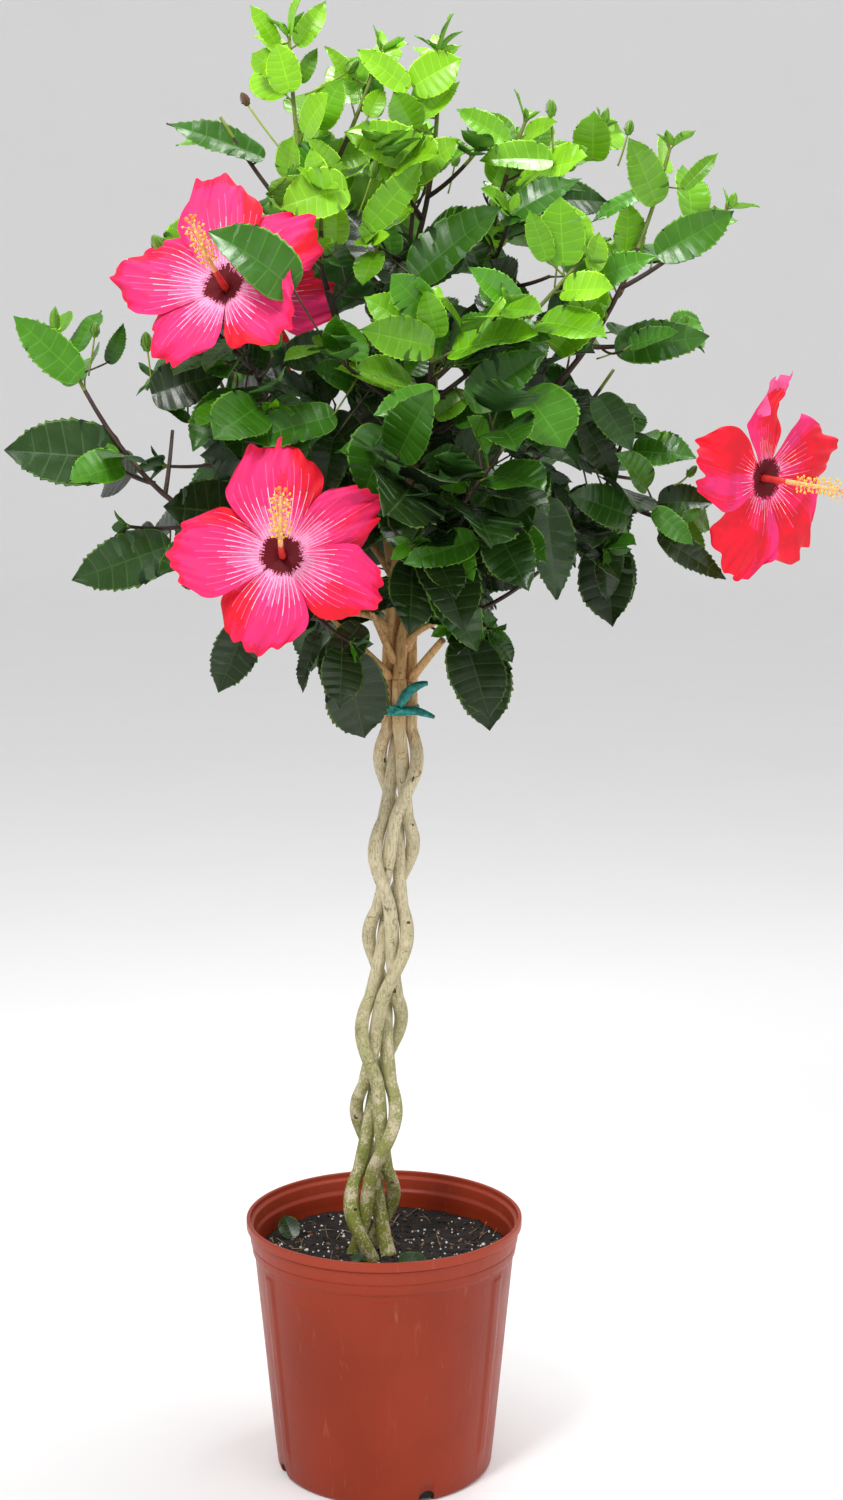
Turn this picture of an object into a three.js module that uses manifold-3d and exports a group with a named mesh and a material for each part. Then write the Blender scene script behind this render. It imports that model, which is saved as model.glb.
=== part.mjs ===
// A hibiscus grown as a small standard tree in a nursery pot, in millimetres, +Z up.
// Four plaited stems rise from the potting mix to a tied fork. Boughs spread from the fork,
// and each carries one mass of foliage: shoots, leaves and the blooms at the shoots' ends.
// The origin is the centre of the pot's underside, and the front of the plant faces -Y.

import * as THREE from "three";
import { mergeVertices } from "three/addons/utils/BufferGeometryUtils.js";
import Module from "manifold-3d";

const wasm = await Module();
wasm.setup();
const { Manifold, Mesh } = wasm;
const TURN = 2 * Math.PI;

// ---------------------------------------------------------------- driving dimensions

const GAP = 0.3; // between pieces that seat on each other
const FINE = 0.08; // smaller steps than this are smoothed away after a join

const POT = { height: 240, foot: 101.4, taper: 0.0974, wall: 2.2, floor: 3, footBevel: 3 };
const BANDS = { low: 207, step: 217.5, high: 230, lowProud: 1.8, highProud: 2.6 }; // below the rolled lip
const LIP = { low: 231.5, radius: 129, width: 3.7 };
const RIB = { count: 6, face: 2.6, foot: 4.2, proud: 1.3, low: 30, high: 200 }; // face and foot in degrees
const DRAIN = { count: 4, radius: 8, height: 3.5, depth: 24, firstAngle: -67 };
const SOIL_TOP = 202;
const SOIL_BANK = { radius: 70, rise: 3 };

const STEM = { base: 7.1, top: 6.2, flare: 1.2, flareHeight: 13, sides: 6, steps: 30 };
const PLAIT = {
  crossings: 6, end: 700, slack: 1.06, square: 1.5,
  spread: 0.5, spreadHeight: 45, startLean: -12, endLean: 15,
};
const FORK = 742;
const TRUNK_ROOM = 27; // no leaf comes nearer than this to the trunk's middle
const TIE = { low: 713, height: 9, thick: 1.2, knot: 5, knotHeight: 718, knotProud: 2.2, sides: 16 };
const TAIL = { width: 7, sag: 8, length: 34, rise: 2, shortLength: 24, steepRise: 40 };

// How far a limb's middle point lies along its first direction, or below its chord for a side shoot.
const BEND = { bough: 0.42, leader: 0.4, side: 0.1, stalk: 0.4 };

const BLOOM = { radius: 93, petals: 5, petalHalfWidth: 46, petalThick: 1.5, column: 66, calyx: 24 };
const BLOOM_ROOM = { behind: 16, ahead: 30, throat: 16, stalkEnd: 30, columnEnd: 12 };
const TWIG = { leader: 2.8, side: 2.3, tip: 1.6, petiole: 1.3, sides: 3, steps: 4 };
const LEAF = {
  widthShare: 0.7, thickShare: 0.016, petioleShare: 0.3, ribShare: 0.42, fold: 0.16, droop: 0.1, roll: 1.1,
  phyllotaxis: (137.5 / 360) * TURN, firstShare: 0.26,
};
const RETRY = { tries: 12, turn: 0.618, shrink: 0.04 }; // a leaf without room tries again, turned and smaller
const CLEAR = { space: 3.4, limb: 2.2, bloom: 4 };
const ROOT_OVERLAP = 20; // the volume that a leaf's stalk may share with its own twig
const HEART = { x: 15, y: 40 }; // leaves look away from this upright line

// Each bough leaves a stem's top, or a point part of the way up an older bough, and ends in its mass.
const BOUGHS = [
  { name: "bough_left", stem: "stem_left", tip: [-48, -8, 1090], radius: [6.2, 3.2] },
  { name: "bough_front", stem: "stem_front", tip: [32, -62, 955], radius: [6.2, 3.2] },
  { name: "bough_right", stem: "stem_right", tip: [152, -10, 1005], radius: [6.2, 3.2] },
  { name: "bough_back", stem: "stem_back", tip: [22, 78, 1070], radius: [6.2, 3.2] },
  { name: "bough_upper_left", from: "bough_left", at: 0.45, tip: [-100, -42, 1012], radius: [3.3, 2.5] },
  { name: "bough_lower_left", from: "bough_left", at: 0.14, tip: [-128, -34, 878], radius: [3.9, 2.6] },
  { name: "bough_front_left", from: "bough_front", at: 0.2, tip: [-46, -66, 806], radius: [3.6, 2.5] },
  { name: "bough_centre", from: "bough_left", at: 0.62, tip: [22, 4, 1108], radius: [3.2, 2.5] },
  { name: "bough_top_right", from: "bough_right", at: 0.6, tip: [94, 4, 1086], radius: [3.2, 2.5] },
  { name: "bough_mid_front", from: "bough_front", at: 0.42, tip: [38, -78, 872], radius: [3.1, 2.5] },
  { name: "bough_lower_right", from: "bough_right", at: 0.24, tip: [156, -24, 884], radius: [3.8, 2.6] },
  { name: "bough_front_right", from: "bough_right", at: 0.1, tip: [70, -40, 806], radius: [3.3, 2.4] },
  { name: "bough_back_left", from: "bough_left", at: 0.26, tip: [-84, 76, 922], radius: [3.7, 2.6] },
  { name: "bough_back_right", from: "bough_back", at: 0.34, tip: [118, 84, 930], radius: [3.6, 2.6] },
  { name: "bough_low_back", from: "bough_back", at: 0.12, tip: [14, 66, 826], radius: [3.3, 2.4] },
];

// Blooms: the centre of the throat and the way the face looks.
const BLOOMS = {
  bloom_upper_left: { at: [-130, -116, 1087], face: [-0.28, -0.86, 0.42], turn: 12 },
  bloom_front: { at: [-81, -154, 864], face: [-0.02, -0.98, 0.18], turn: 15 },
  bloom_right: { at: [338, -42, 926], face: [0.66, -0.74, -0.1], turn: 4 },
  bloom_back: { at: [-126, 188, 1098], face: [-0.42, 0.84, 0.34], turn: 20 },
};

// Each mass of foliage grows on from its bough's tip. The first shoot is the leader, and the others
// fork from it. blade is the length of the shoot's largest leaf, and age goes from soft to old.
const FOLIAGE = [
  {
    name: "foliage_top_left", bough: "bough_left", shoots: [
      { tip: [-80, -12, 1306], leaves: 9, blade: 76, age: 0.1 },
      { fork: 0.3, tip: [0, -24, 1292], leaves: 8, blade: 74, age: 0.1 },
      { fork: 0.2, tip: [-140, -18, 1238], leaves: 5, blade: 80, age: 0.5 },
      { fork: 0.1, tip: [-50, -80, 1168], leaves: 6, blade: 88, age: 0.15 },
    ],
  },
  {
    name: "foliage_upper_left", bough: "bough_upper_left", shoots: [
      { tip: [-190, -34, 1110], leaves: 6, blade: 86, age: 0.6 },
      { fork: 0.15, tip: [-118, -74, 1058], leaves: 0, blade: 60, age: 0.5, bears: "bloom_upper_left" },
      { fork: 0.2, tip: [-196, -30, 1014], leaves: 6, blade: 92, age: 0.8 },
      { fork: 0.1, tip: [-92, -104, 985], leaves: 6, blade: 96, age: 0.7 },
    ],
  },
  {
    name: "foliage_left", bough: "bough_lower_left", shoots: [
      { tip: [-284, -34, 1052], leaves: 7, blade: 84, age: 0.4 },
      { fork: 0.35, tip: [-232, -52, 936], leaves: 2, blade: 74, age: 0.7 },
      { fork: 0.1, tip: [-222, -44, 884], leaves: 4, blade: 98, age: 0.9 },
      { fork: 0.3, tip: [-190, 20, 968], leaves: 6, blade: 92, age: 0.8 },
    ],
  },
  {
    name: "foliage_front_left", bough: "bough_front_left", shoots: [
      { tip: [-142, -62, 850], leaves: 5, blade: 88, age: 0.9 },
      { fork: 0.3, tip: [-84, -112, 856], leaves: 0, blade: 60, age: 0.8, bears: "bloom_front" },
      { fork: 0.4, tip: [-116, -72, 804], leaves: 3, blade: 80, age: 1 },
      { fork: 0.1, tip: [-26, -92, 786], leaves: 4, blade: 96, age: 1 },
    ],
  },
  {
    name: "foliage_top", bough: "bough_centre", shoots: [
      { tip: [50, -8, 1294], leaves: 9, blade: 78, age: 0.1 },
      { fork: 0.25, tip: [0, -56, 1210], leaves: 7, blade: 88, age: 0.15 },
      { fork: 0.35, tip: [82, -34, 1206], leaves: 6, blade: 90, age: 0.4 },
      { fork: 0.05, tip: [-8, -62, 1128], leaves: 5, blade: 88, age: 0.5 },
    ],
  },
  {
    name: "foliage_top_right", bough: "bough_top_right", shoots: [
      { tip: [126, -4, 1236], leaves: 8, blade: 86, age: 0.3 },
      { fork: 0.3, tip: [192, 4, 1232], leaves: 6, blade: 78, age: 0.4 },
      { fork: 0.15, tip: [112, -56, 1150], leaves: 6, blade: 100, age: 0.6 },
      { fork: 0.05, tip: [146, -44, 1100], leaves: 4, blade: 90, age: 0.7 },
    ],
  },
  {
    name: "foliage_right_top", bough: "bough_right", shoots: [
      { tip: [252, -16, 1212], leaves: 8, blade: 88, age: 0.2 },
      { fork: 0.45, tip: [302, -20, 1160], leaves: 5, blade: 84, age: 0.3 },
      { fork: 0.2, tip: [262, -14, 1052], leaves: 6, blade: 96, age: 0.7 },
      { fork: 0.15, tip: [182, 40, 1110], leaves: 5, blade: 84, age: 0.6 },
    ],
  },
  {
    name: "foliage_front_upper", bough: "bough_front", shoots: [
      { tip: [48, -108, 1070], leaves: 8, blade: 88, age: 0.2 },
      { fork: 0.3, tip: [168, -92, 1108], leaves: 8, blade: 92, age: 0.2 },
      { fork: 0.45, tip: [104, -104, 1074], leaves: 6, blade: 90, age: 0.3 },
      { fork: 0.2, tip: [-44, -102, 1036], leaves: 7, blade: 94, age: 0.6 },
      { fork: 0.05, tip: [106, -74, 1010], leaves: 6, blade: 94, age: 0.8 },
    ],
  },
  {
    name: "foliage_front", bough: "bough_mid_front", shoots: [
      { tip: [114, -122, 968], leaves: 8, blade: 98, age: 0.5 },
      { fork: 0.25, tip: [-4, -126, 950], leaves: 8, blade: 98, age: 0.8 },
      { fork: 0.1, tip: [28, -130, 872], leaves: 6, blade: 108, age: 0.9 },
      { fork: 0.2, tip: [104, -120, 888], leaves: 6, blade: 100, age: 0.8 },
    ],
  },
  {
    name: "foliage_right", bough: "bough_lower_right", shoots: [
      { tip: [280, -24, 912], leaves: 5, blade: 78, age: 0.6, bears: "bloom_right" },
      { fork: 0.25, tip: [216, -34, 972], leaves: 7, blade: 94, age: 0.8 },
      { fork: 0.55, tip: [258, -62, 890], leaves: 4, blade: 88, age: 0.8 },
      { fork: 0.15, tip: [196, -66, 866], leaves: 5, blade: 92, age: 1 },
    ],
  },
  {
    name: "foliage_front_right", bough: "bough_front_right", shoots: [
      { tip: [92, -66, 796], leaves: 5, blade: 86, age: 1 },
      { fork: 0.2, tip: [146, -78, 854], leaves: 5, blade: 90, age: 0.9 },
      { fork: 0.1, tip: [62, -78, 800], leaves: 5, blade: 92, age: 1 },
    ],
  },
  {
    name: "foliage_back_left", bough: "bough_back_left", shoots: [
      { tip: [-164, 116, 1036], leaves: 7, blade: 84, age: 0.5 },
      { fork: 0.3, tip: [-204, 84, 936], leaves: 6, blade: 88, age: 0.8 },
      { fork: 0.15, tip: [-120, 156, 900], leaves: 6, blade: 88, age: 0.8 },
      { fork: 0.5, tip: [-116, 150, 1056], leaves: 0, blade: 60, age: 0.6, bears: "bloom_back" },
    ],
  },
  {
    name: "foliage_back_right", bough: "bough_back_right", shoots: [
      { tip: [216, 112, 1026], leaves: 7, blade: 84, age: 0.5 },
      { fork: 0.3, tip: [234, 92, 924], leaves: 6, blade: 88, age: 0.8 },
      { fork: 0.2, tip: [150, 160, 980], leaves: 6, blade: 88, age: 0.8 },
      { fork: 0.1, tip: [112, 166, 872], leaves: 5, blade: 90, age: 0.9 },
    ],
  },
  {
    name: "foliage_back_top", bough: "bough_back", shoots: [
      { tip: [34, 92, 1232], leaves: 8, blade: 84, age: 0.3 },
      { fork: 0.2, tip: [-72, 112, 1160], leaves: 7, blade: 88, age: 0.5 },
      { fork: 0.3, tip: [118, 108, 1156], leaves: 7, blade: 88, age: 0.5 },
      { fork: 0.1, tip: [20, 156, 1040], leaves: 7, blade: 92, age: 0.6 },
    ],
  },
  {
    name: "foliage_low_back", bough: "bough_low_back", shoots: [
      { tip: [0, 138, 888], leaves: 6, blade: 88, age: 0.8 },
      { fork: 0.2, tip: [-76, 110, 822], leaves: 5, blade: 90, age: 1 },
      { fork: 0.2, tip: [94, 108, 816], leaves: 5, blade: 90, age: 1 },
    ],
  },
];

// Openings in the foliage, where the sky shows when the plant is seen from the front, and the leaves
// that lie round them. Places seen from the front are given on the upright plane through the pot's middle.
const FRONT_VIEW = { x: 35, z: 950, distance: 2000 };
const OPENINGS = [ // across, height and radius
  [-150, 1262, 28], [-150, 1310, 30], [-98, 1236, 18], [-122, 1198, 24], [-52, 1284, 8], [-15, 1322, 18],
  [25, 1335, 26], [-34, 1244, 8], [92, 1290, 26], [58, 1242, 15], [62, 1178, 18], [82, 1198, 9],
  [128, 1260, 22], [168, 1228, 11], [186, 1272, 20], [208, 1250, 14], [205, 1190, 17], [250, 1244, 18],
  [270, 1214, 11], [304, 1198, 26], [338, 1178, 34], [256, 1150, 11], [322, 1112, 24], [240, 1086, 24],
  [278, 1096, 24], [128, 1118, 13], [141, 1098, 11], [72, 1092, 14], [-22, 1068, 8], [185, 1020, 13],
  [216, 1012, 16], [244, 1002, 14], [300, 1010, 26], [252, 982, 16], [286, 962, 18], [197, 962, 8],
  [166, 932, 9], [107, 946, 7], [66, 1016, 8], [226, 926, 9], [232, 885, 8], [240, 850, 17],
  [264, 816, 24], [162, 786, 40], [152, 836, 15], [112, 820, 13], [-222, 1058, 17], [-216, 1032, 12],
  [-285, 1092, 20], [-304, 1074, 16], [-322, 1030, 12], [-348, 1012, 26], [-302, 998, 22],
  [-256, 985, 23], [-228, 964, 15], [-192, 970, 19], [-178, 936, 11], [-158, 1008, 11], [-222, 906, 16],
  [-244, 890, 16], [-304, 882, 36], [-304, 816, 32], [-232, 800, 24], [-188, 796, 24], [-158, 812, 16],
  [-96, 778, 12], [-92, 738, 22], [-96, 700, 26], [-160, 700, 26], [-36, 672, 18],
];
const PLACED = [ // foot across and height, tip across and height, depth of foot and of tip, width share
  [-91, 1301, -114, 1336, -6, -14, 0.45], [-74, 1301, -48, 1339, -20, -28, 0.45],
  [-80, 1262, -92, 1304, -26, -38, 0.75], [-71, 1270, -57, 1300, -8, -14, 0.45],
  [-103, 1206, -187, 1241, -16, -30, 0.36], [-57, 1232, -36, 1274, -24, -36, 0.75],
  [-6, 1240, -8, 1290, -8, -12, 0.45], [-24, 1272, -49, 1302, -20, -26, 0.4],
  [24, 1264, -19, 1300, -30, -44, 0.5], [27, 1266, 68, 1292, -20, -34, 0.8],
  [40, 1284, 69, 1305, -10, -8, 0.4], [35, 1240, 68, 1272, -14, -20, 0.42],
  [29, 1230, 11, 1262, -26, -40, 0.85], [37, 1208, -30, 1231, -44, -62, 0.58],
  [37, 1194, 72, 1221, -24, -30, 0.4], [-38, 1192, -64, 1223, -40, -56, 0.5],
  [-30, 1179, -90, 1167, -84, -96, 0.78], [-14, 1145, 36, 1201, -62, -84, 0.4],
  [27, 1102, 103, 1166, -70, -92, 0.6], [112, 1219, 68, 1249, -22, -34, 0.5],
  [50, 1050, 38, 1092, -104, -122, 0.6], [46, 1042, -18, 1057, -114, -136, 0.6],
  [150, 1204, 88, 1209, -40, -56, 0.58], [186, 1203, 185, 1245, -8, -22, 0.85],
  [243, 1166, 219, 1223, -24, -40, 0.6], [265, 1178, 296, 1211, -26, -32, 0.36],
  [231, 1177, 186, 1157, -20, -34, 0.35], [243, 1122, 312, 1159, -24, -36, 0.5],
  [177, 1095, 241, 1126, -64, -78, 0.42], [154, 1037, 201, 1096, -84, -106, 0.5],
  [125, 1070, 82, 1114, -100, -122, 0.5], [147, 1117, 130, 1161, -96, -108, 0.5],
  [176, 1103, 151, 1170, -52, -66, 0.5], [104, 1151, 172, 1194, -56, -70, 0.45],
  [207, 1041, 291, 1053, -24, -36, 0.5], [188, 1036, 259, 1008, -28, -36, 0.24],
  [77, 991, 141, 1038, -112, -134, 0.58], [128, 1002, 165, 955, -114, -134, 1.05],
  [193, 999, 224, 951, -62, -78, 0.58], [181, 974, 211, 923, -50, -64, 0.5],
  [238, 917, 214, 950, -66, -84, 0.75], [92, 872, 138, 906, -132, -152, 1],
  [146, 908, 159, 817, -104, -118, 0.5], [223, 892, 171, 914, -72, -92, 0.65],
  [201, 869, 207, 792, -48, -60, 0.72], [248, 875, 311, 836, -58, -62, 0.38],
  [244, 898, 280, 866, -80, -96, 0.45], [85, 871, 19, 851, -132, -150, 0.5],
  [50, 841, 87, 771, -96, -112, 0.62], [-269, 1014, -328, 1069, -48, -60, 0.46],
  [-244, 1027, -228, 1061, -20, -24, 0.42], [-234, 942, -339, 953, -46, -62, 0.64],
  [-233, 937, -282, 926, -74, -90, 0.95], [-190, 866, -281, 834, -48, -66, 0.54],
  [-206, 1000, -142, 1022, -50, -58, 0.7], [-42, 982, -124, 961, -112, -130, 0.54],
  [-172, 976, -200, 994, -44, -52, 0.4], [40, 888, -36, 852, -128, -146, 0.52],
  [3, 970, -16, 908, -122, -142, 0.9], [-44, 962, -55, 908, -86, -102, 0.65],
  [50, 1002, -7, 987, -122, -142, 0.48], [-122, 798, -150, 732, -70, -80, 0.6],
  [-58, 788, -80, 735, -72, -80, 0.36], [-20, 795, -50, 745, -84, -96, 0.62],
];
const PAD = 1.2; // room kept round a placed leaf on every side
const STUB = 3; // the blade's own part of a placed leaf's stalk
const ROOTS = { steps: 40, end: 0.98 }; // the places on a shoot where a placed leaf may root
const FACING = { sway: 0.35, swayStep: 2.4, rise: 0.45, riseSwing: 0.3, riseStep: 1.7 }; // of placed leaves

const COLOUR = {
  pot: 0x9c3a24, soil: 0x1d1815, bark: 0xb8a586, twig: 0x5a4a34, leaf: 0x2f6d23, youngLeaf: 0x6fae2a,
  petal: 0xf02d62, tie: 0x17877e,
};

// ---------------------------------------------------------------- small helpers

const vec = (xyz) => new THREE.Vector3(...xyz);
const UP = new THREE.Vector3(0, 0, 1);
const clamp01 = (x) => Math.min(1, Math.max(0, x));
const smooth = (x) => clamp01(x) ** 2 * (3 - 2 * clamp01(x));
const mix = (a, b, share) => a + (b - a) * share;

/** A repeatable stream of numbers from 0 to 1. */
function seeded(seed) {
  let state = seed >>> 0;
  return () => {
    state = (Math.imul(state, 1664525) + 1013904223) >>> 0;
    return state / 2 ** 32;
  };
}

/** A closed three.js geometry as a solid for joining and cutting. Its faces may wind either way. */
function solidOf(geometry) {
  const bare = geometry.clone();
  bare.deleteAttribute("normal");
  bare.deleteAttribute("uv");
  const merged = mergeVertices(bare, 1e-4);
  const corners = merged.index.array;
  const kept = [];
  for (let i = 0; i < corners.length; i += 3) {
    const [a, b, c] = corners.slice(i, i + 3);
    if (a !== b && b !== c && a !== c) kept.push(a, b, c);
  }
  const wound = (triVerts) =>
    new Manifold(new Mesh({ numProp: 3, vertProperties: merged.attributes.position.array, triVerts }));
  const solid = wound(new Uint32Array(kept));
  return (solid.volume() > 0 ? solid : wound(new Uint32Array(kept).reverse())).asOriginal();
}

/** A solid as a named three.js mesh with its own material. */
function meshOf(name, solid, color, roughness = 0.6) {
  const { vertProperties, triVerts, numProp } = solid.getMesh();
  const positions = new Float32Array((vertProperties.length / numProp) * 3);
  for (let i = 0; i < positions.length / 3; i++) {
    positions.set(vertProperties.subarray(i * numProp, i * numProp + 3), i * 3);
  }
  const geometry = new THREE.BufferGeometry()
    .setAttribute("position", new THREE.BufferAttribute(positions, 3))
    .setIndex(new THREE.BufferAttribute(triVerts, 1));
  geometry.computeVertexNormals();
  const mesh = new THREE.Mesh(geometry, new THREE.MeshStandardMaterial({ color, roughness, metalness: 0 }));
  mesh.name = name;
  return mesh;
}

/** Moves each vertex of a geometry by a function of its old place. */
function reshaped(geometry, place) {
  const position = geometry.attributes.position;
  const old = new THREE.Vector3();
  for (let i = 0; i < position.count; i++) {
    const { x, y, z } = place(old.fromBufferAttribute(position, i), i);
    position.setXYZ(i, x, y, z);
  }
  return geometry;
}

/** A round limb along a curve, with a radius that is a function of the share of its length. */
function limb(curve, radiusAt, sides, steps) {
  const frames = curve.computeFrenetFrames(steps);
  return reshaped(new THREE.CylinderGeometry(1, 1, 1, sides, steps), (p) => {
    const share = clamp01(p.y + 0.5);
    const ring = Math.round(share * steps);
    const radius = radiusAt(share);
    return curve.getPointAt(share)
      .addScaledVector(frames.normals[ring], p.x * radius)
      .addScaledVector(frames.binormals[ring], p.z * radius);
  });
}

// ---------------------------------------------------------------- pot and potting mix

// The angles, in degrees, of the columns of points from one rib to the next.
const COLUMNS = [-RIB.foot, -RIB.face, RIB.face, RIB.foot, 17, 30, 43];

/**
 * Turns a profile of [radius, height] points round the Z axis.
 * The profile's rows that are listed in ribbed stand out at each rib.
 */
function turned(profile, ribbed = []) {
  const perRound = COLUMNS.length * RIB.count;
  const lathe = new THREE.LatheGeometry(profile.map(([r, z]) => new THREE.Vector2(r, z)), perRound);
  return reshaped(lathe, (p, i) => {
    const column = Math.floor(i / profile.length) % perRound;
    const fromRib = COLUMNS[column % COLUMNS.length];
    const degrees = Math.floor(column / COLUMNS.length) * (360 / RIB.count) + fromRib - 90;
    const onRib = Math.abs(fromRib) <= RIB.face && ribbed.includes(i % profile.length);
    const radius = Math.hypot(p.x, p.z) + (onRib ? RIB.proud : 0);
    const angle = (degrees / 360) * TURN;
    return { x: radius * Math.cos(angle), y: radius * Math.sin(angle), z: p.y };
  });
}

const wallRadius = (z) => POT.foot + POT.taper * z;

/** The pot: a tapered wall with six ribs, two bands, a rolled lip and four drain holes at its foot. */
function pot() {
  const side = [
    [POT.foot - POT.footBevel, 0],
    [POT.foot, POT.footBevel],
    [wallRadius(RIB.low), RIB.low],
    [wallRadius(RIB.high), RIB.high],
    [wallRadius(BANDS.low), BANDS.low],
    [wallRadius(BANDS.low) + BANDS.lowProud, BANDS.low + 1.5],
    [wallRadius(BANDS.step) + BANDS.lowProud, BANDS.step],
    [wallRadius(BANDS.high) + BANDS.highProud, BANDS.high],
    [LIP.radius, LIP.low],
    [LIP.radius, POT.height],
  ];
  const inside = [
    [LIP.radius - LIP.width, POT.height],
    [wallRadius(BANDS.step) - POT.wall, BANDS.step],
    [wallRadius(POT.floor) - POT.wall, POT.floor],
    [0, POT.floor],
  ];
  let solid = solidOf(turned([[0, 0], ...side, ...inside], [3, 4]));
  for (let i = 0; i < DRAIN.count; i++) {
    const angle = ((DRAIN.firstAngle + (i * 360) / DRAIN.count - 90) / 360) * TURN;
    const drill = new THREE.CylinderGeometry(DRAIN.radius, DRAIN.radius, DRAIN.depth, 14)
      .rotateZ(Math.PI / 2)
      .rotateZ(angle)
      .translate(POT.foot * Math.cos(angle), POT.foot * Math.sin(angle), DRAIN.height);
    solid = solid.subtract(solidOf(drill));
  }
  return solid;
}

/** The potting mix fills the pot, flat under the stems and banked a little against the wall. */
function soil() {
  const reach = (z) => wallRadius(z) - POT.wall - GAP;
  const low = POT.floor + GAP;
  const bank = SOIL_TOP + SOIL_BANK.rise;
  const side = [[reach(low), low], [reach(bank), bank], [SOIL_BANK.radius, SOIL_TOP]];
  return solidOf(turned([[0, low], ...side, [0, SOIL_TOP]]));
}

// ---------------------------------------------------------------- plaited stems

const STEMS = [
  { name: "stem_left", way: -1, start: 0.75 },
  { name: "stem_front", way: 1, start: 0.75 },
  { name: "stem_right", way: -1, start: 0.25 },
  { name: "stem_back", way: 1, start: 0.25 },
];

const stemTaper = (z) => mix(STEM.base, STEM.top, (z - SOIL_TOP) / (FORK - SOIL_TOP));
const fading = (z, height) => Math.exp((SOIL_TOP - z) / height);
const stemRadius = (z) => stemTaper(z) + STEM.flare * fading(z, STEM.flareHeight);

/** The centre of the plait at a height: the whole trunk leans a little to the right. */
const plaitAxis = (z) => mix(PLAIT.startLean, PLAIT.endLean, smooth((z - SOIL_TOP) / (FORK - SOIL_TOP)));

/** Where a stem's centre is at a height. Two stems wind each way, and pass in front and behind by turns. */
function stemCentre(stem, z) {
  const share = clamp01((z - SOIL_TOP) / (PLAIT.end - SOIL_TOP));
  const phase = TURN / 8 + ((PLAIT.crossings * TURN) / 4) * share;
  const crossing = Math.cos(2 * phase);
  const room = stemTaper(z) * PLAIT.slack + GAP;
  const spread = PLAIT.spread * fading(z, PLAIT.spreadHeight);
  const radius = room * (mix(PLAIT.square, 2, Math.abs(crossing)) + stem.way * crossing + spread);
  const angle = stem.way * phase + stem.start * TURN + TURN / 8;
  return new THREE.Vector3(plaitAxis(z) + radius * Math.cos(angle), radius * Math.sin(angle), z);
}

/** A stem with level rings, so that it stands on a flat cut and ends in one. */
function stemSolid(stem) {
  const low = SOIL_TOP + GAP;
  return solidOf(reshaped(new THREE.CylinderGeometry(1, 1, 1, STEM.sides, STEM.steps), (p) => {
    const z = mix(low, FORK, clamp01(p.y + 0.5));
    return stemCentre(stem, z).add({ x: p.x * stemRadius(z), y: p.z * stemRadius(z), z: 0 });
  }));
}

/** The tie: a band of tape round the four stems, a knot in front and two loose ends. */
function tie() {
  const inner = stemTaper(TIE.low) * (PLAIT.slack * PLAIT.square + 1) + 3 * GAP;
  const outer = inner + TIE.thick;
  const high = TIE.low + TIE.height;
  const ring = new THREE.LatheGeometry(
    [[inner, TIE.low], [outer, TIE.low], [outer, high], [inner, high], [inner, TIE.low]]
      .map(([r, z]) => new THREE.Vector2(r, z)), TIE.sides,
  ).rotateX(Math.PI / 2);
  const front = -outer - TIE.knotProud;
  const knot = new THREE.OctahedronGeometry(TIE.knot, 0)
    .scale(1.2, 0.7, 0.9).translate(0, front, TIE.knotHeight);
  const tail = (rise, length) => reshaped(new THREE.BoxGeometry(length, 1, TAIL.width, 4, 1, 1), (p) => {
    const share = p.x / length + 0.5;
    const height = rise * share - TAIL.sag * share * share;
    const across = p.z * (1 - 0.5 * share);
    return { x: share * length, y: front + p.y - 3 * share, z: TIE.knotHeight + height + across };
  });
  const tails = [tail(TAIL.rise, TAIL.length), tail(TAIL.steepRise, TAIL.shortLength)];
  const solids = [ring, knot, ...tails].map(solidOf);
  return Manifold.union(solids).translate([plaitAxis(TIE.low), 0, 0]);
}

// ---------------------------------------------------------------- boughs

/** Lays out the boughs' curves, oldest first. A bough starts at its stem's cut or on its parent's line. */
function layBoughs() {
  const laid = new Map();
  for (const bough of BOUGHS) {
    const tip = vec(bough.tip);
    let start, way;
    if (bough.stem) {
      start = stemCentre(STEMS.find((s) => s.name === bough.stem), FORK).setZ(FORK + GAP);
      way = UP.clone();
    } else {
      const parent = laid.get(bough.from).curve;
      start = parent.getPointAt(bough.at);
      way = parent.getTangentAt(bough.at).add(tip.clone().sub(start).normalize()).normalize();
    }
    const bend = start.clone().addScaledVector(way, BEND.bough * start.distanceTo(tip));
    const curve = new THREE.QuadraticBezierCurve3(start, bend, tip);
    laid.set(bough.name, { ...bough, curve, radiusAt: (t) => mix(bough.radius[0], bough.radius[1], t) });
  }
  return laid;
}

const boughs = layBoughs();

/** The largest of a solid's separate bodies. */
const largestBody = (solid) => solid.decompose().reduce((a, b) => (a.volume() > b.volume() ? a : b));

/** A bough's solid, cut clear of the bough that it leaves. */
function boughSolid(bough) {
  const solid = solidOf(limb(bough.curve, bough.radiusAt, 6, 4));
  if (!bough.from) return solid;
  const parent = boughs.get(bough.from);
  const seat = solidOf(limb(parent.curve, (t) => parent.radiusAt(t) + 1.2 * GAP, 6, 4));
  return largestBody(solid.subtract(seat));
}

// ---------------------------------------------------------------- shoots and leaves

/** The point at a share of a line made of equal straight stretches. */
function pointOn(line, share) {
  const stretch = Math.min(line.length - 2, Math.floor(share * (line.length - 1)));
  return line[stretch].clone().lerp(line[stretch + 1], share * (line.length - 1) - stretch);
}

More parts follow.
